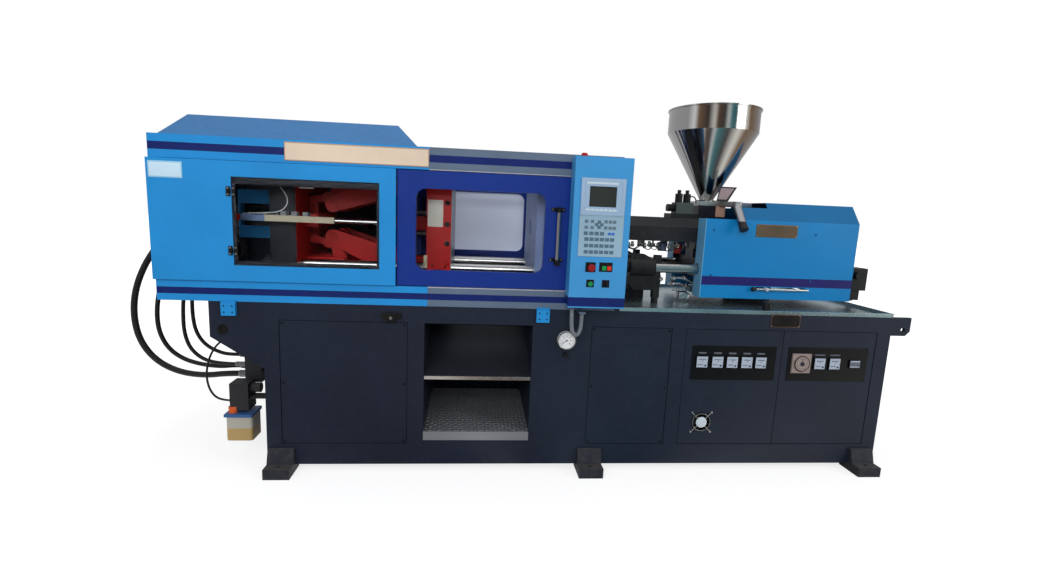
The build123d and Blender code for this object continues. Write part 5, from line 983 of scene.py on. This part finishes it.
# Heater wiring. Ceramic terminals stand below the bands with wires looped from one to the next,
# and a grey thermocouple head and a red connector hang beside the throat.
ceramic = coat("terminal_ceramic", skin(196, 190, 178, 0.5), dust=0.1)
block = painted(step_in(plate("terminal", (-13, -14, 0), (13, 14, 24), 2.5), 4, -2), ceramic)
stud = painted(bar("terminal_post", (0, 0, 22), (0, 0, 52), 6, 12, 1), screw_zinc)
terminal = joined("terminal", [block, stud])
terminal_places = (160, 300, 455, 560, 640, 790)
terminals = repeated(terminal, [(x, -46, 1222) for x in terminal_places])
fitted(joined("heater_terminals", terminals), "carriage")
looped = []
sags = (1190, 1196, 1204, 1204, 1198)
for a, b, sag in zip(terminal_places, terminal_places[1:], sags):
    looped.append(wire("heater_wire", [
        (a, -58, 1236), (a + 16, -74, 1218), ((a + b) / 2, -84, sag), (b - 16, -74, 1218),
        (b, -58, 1236)], 3.4))
for a, drop in ((470, 1208), (600, 1206), (760, 1200)):
    looped.append(wire("heater_wire", [
        (a, -58, 1232), (a + 10, -90, 1222), (a + 34, -96, drop), (a + 62, -80, drop + 14),
        (a + 80, -58, 1240)], 2.6))
strap = painted(step_in(plate("band_clamp", (-8, -8, 0), (8, 8, 34), 2), 3, -2), screw_zinc)
pin = painted(bar("band_pin", (-14, 0, 12), (14, 0, 12), 4, 10, 1), screw_zinc)
clamp = joined("band_clamp", [strap, pin])
clamps = repeated(clamp, [
    (432, -56, 1224), (486, -58, 1214), (514, -40, 1218), (585, -58, 1212), (618, -44, 1222),
    (668, -58, 1216), (742, -56, 1210), (768, -40, 1220), (832, -56, 1214), (858, -44, 1222)])
fitted(joined("band_clamps", clamps), "carriage")
wire_grey = coat("wire_grey", skin(64, 66, 70, 0.5, 0.1))
fitted(joined("heater_wires", looped), "carriage", wire_grey)
head_coat = coat("sensor_grey", skin(104, 118, 140, 0.4, 0.3))
sensor = step_in(bar("sensor_head", (709, -20, 1252), (709, -20, 1198), 27, 28, 4), 6, 0.5)
fitted(sensor, "carriage", head_coat)
fixed_plate("red_connector", (786, -34, 1186), (826, -6, 1250), 3, 4, -1.5, "carriage",
            coat("connector_red", skin(150, 34, 30, 0.4)))

# Pipework on the tray. Steel pipes with hexagon nuts and a small block run from the bracket
# under the cover to the pull cylinders.
pipe_steel = coat("pipe_steel", skin(222, 222, 224, 0.24, 1.0), dust=0.02)
piping = [wire("pipe", points, radius) for radius, points in (
    (8, [(742, -120, 1040), (775, -120, 1046), (830, -122, 1044), (880, -124, 1020),
         (935, -126, 996)]),
    (9, [(742, -84, 1000), (780, -86, 1008), (840, -90, 1002), (880, -96, 972), (935, -100, 960)]),
    (6, [(748, -150, 974), (790, -150, 980), (850, -148, 976), (935, -148, 950)]))]
piping += [bar("pipe_nut", start, end, radius, 6, 1.5) for start, end, radius in (
    ((752, -120, 1041), (778, -120, 1046), 15), ((820, -122, 1045), (842, -122, 1041), 15),
    ((760, -84, 1003), (790, -86, 1007), 17), ((848, -92, 996), (868, -94, 984), 16),
    ((812, -150, 978), (836, -149, 978), 12))]
piping.append(step_in(plate("pipe_block", (786, -160, 923.2), (850, -90, 962), 3), 8, -2))
fitted(joined("tray_pipework", piping), "bed", pipe_steel)
studs = []
for y in (-205, 205):
    studs.append(bar("nose_stud", (382, y, 1112), (421, y, 1112), 12, 20, 2))
    studs.append(bar("nose_nut", (392, y, 1112), (411, y, 1112), 20, 6, 2))
fitted(joined("nose_studs", studs), "bed", coat("stud_steel", steel))
fixed_plate("tray_post", (1146, -486, 922.8), (1180, -456, 970), 3, 6, -2, "bed",
            coat("post_black", black, dust=0.1))
bracket_eye = step_in(bar("bracket_eye", (632, -256, 1053), (632, -268, 1053), 12, 24, 2), 4, -3)
fitted(bracket_eye, "bed", coat("eye_steel", bright_steel, dust=0.02))

# Valve fittings. A thin cable leaves the valve coils for the cover, and a ribbed hose stands
# behind the rear valve block.
valve_cable = wire("valve_cable", [
    (800, -60, 1500), (826, -70, 1530), (862, -74, 1536), (880, -70, 1512), (884, -60, 1490)], 3.5)
fitted(valve_cable, "carriage", coat("valve_cable_black", black, dust=0.02))
rib = ring("hose_rib", (0, 0, 0), 13, 4.2, 28, lean=0)
ribs = repeated(rib, [(1957, -60, 930 + i * 7.2) for i in range(17)])
core = bar("hose_core", (1957, -60, 926), (1957, -60, 1052), 12.5, 28, 1)
elbow = bar("hose_elbow", (1936, -60, 1040), (1957, -60, 1040), 10, 20, 1)
fitted(joined("ribbed_hose", ribs + [core, elbow]), "carriage",
       coat("ribbed_grey", skin(60, 62, 66, 0.45, 0.2)))

# Gauge. A white dial in a steel case, with a chromed bezel, and ticks, numbers and a needle in
# dark ink, and a black isolator knob under it.
dress("pressure_gauge", coat("gauge_steel", skin(120, 122, 124, 0.3, 1.0), [
    ((-10, -524.5, 680), (110, -510, 800), white_enamel)], dust=0.03))
dress("gauge_knob", coat("knob_black", black))
ink = coat("dial_ink", skin(24, 24, 28, 0.4), dust=0.0)
gauge_x, gauge_z = 51, 741
bezel_ring = ring("gauge_bezel", (gauge_x, -524.5, gauge_z), 46.5, 3.0, 56, 10)
fitted(bezel_ring, "bed", chrome_plate)
dial = []
for i in range(25):
    tick = plate("tick", (-0.5, -525.0, 34 if i % 4 else 30), (0.5, -523.6, 40), 0.1)
    dial.append(swung(tick, -135 + i * 11.25, gauge_x, gauge_z))
for i in range(7):
    angle = math.radians(-135 + i * 45)
    select()
    bpy.ops.object.text_add(rotation=(math.pi / 2, 0, 0))
    number = bpy.context.object.data
    number.body = str(i * 5)
    number.size = 0.009
    number.extrude = 0.0002
    number.align_x = number.align_y = "CENTER"
    bpy.ops.object.convert(target="MESH")
    bpy.context.object.location = (gauge_x / 1000 + 0.0235 * math.sin(angle), -0.5243,
                                   gauge_z / 1000 + 0.0235 * math.cos(angle))
    dial.append(settle("number"))
needle = plate("needle", (-0.9, -526.4, -8), (0.9, -525.4, 32), 0.3)
dial.append(swung(needle, -118, gauge_x, gauge_z))
dial.append(bar("needle_hub", (gauge_x, -523.8, gauge_z), (gauge_x, -527, gauge_z), 4, 20, 0.8))
fitted(joined("gauge_dial", dial), "bed", ink)

# Lubrication set. Black manifold block with zinc nuts, a bright cylinder, and a yellowed oil
# tank with a blue lid and an orange cap.
dress("hydraulic_fittings", coat("fitting_steel", skin(52, 54, 58, 0.45, 0.5), [
    ((-1765, -240, 395), (-1640, -100, 565), skin(118, 122, 128, 0.38, 0.6)),
    (*level(120, 196), skin(178, 150, 96, 0.35)),
    (*level(196, 260), skin(176, 172, 160, 0.35)),
    (*level(260, 276.2), skin(44, 92, 148, 0.4)),
    ((-1742, -420, 276.3), (-1690, -350, 312), skin(214, 92, 34, 0.4))], dust=0.12))
nuts = [bar("hose_nut", (-1764, y, z), (-1750, y, z), radius + 5, 6, 1.5)
        for y, z, radius in ((-170, 424, 16), (-140, 462, 12), (-210, 492, 10), (-150, 530, 10))]
nut_zinc = coat("nut_zinc", skin(150, 150, 150, 0.3, 1.0), dust=0.05)
fitted(joined("manifold_nuts", nuts), "bed", nut_zinc)
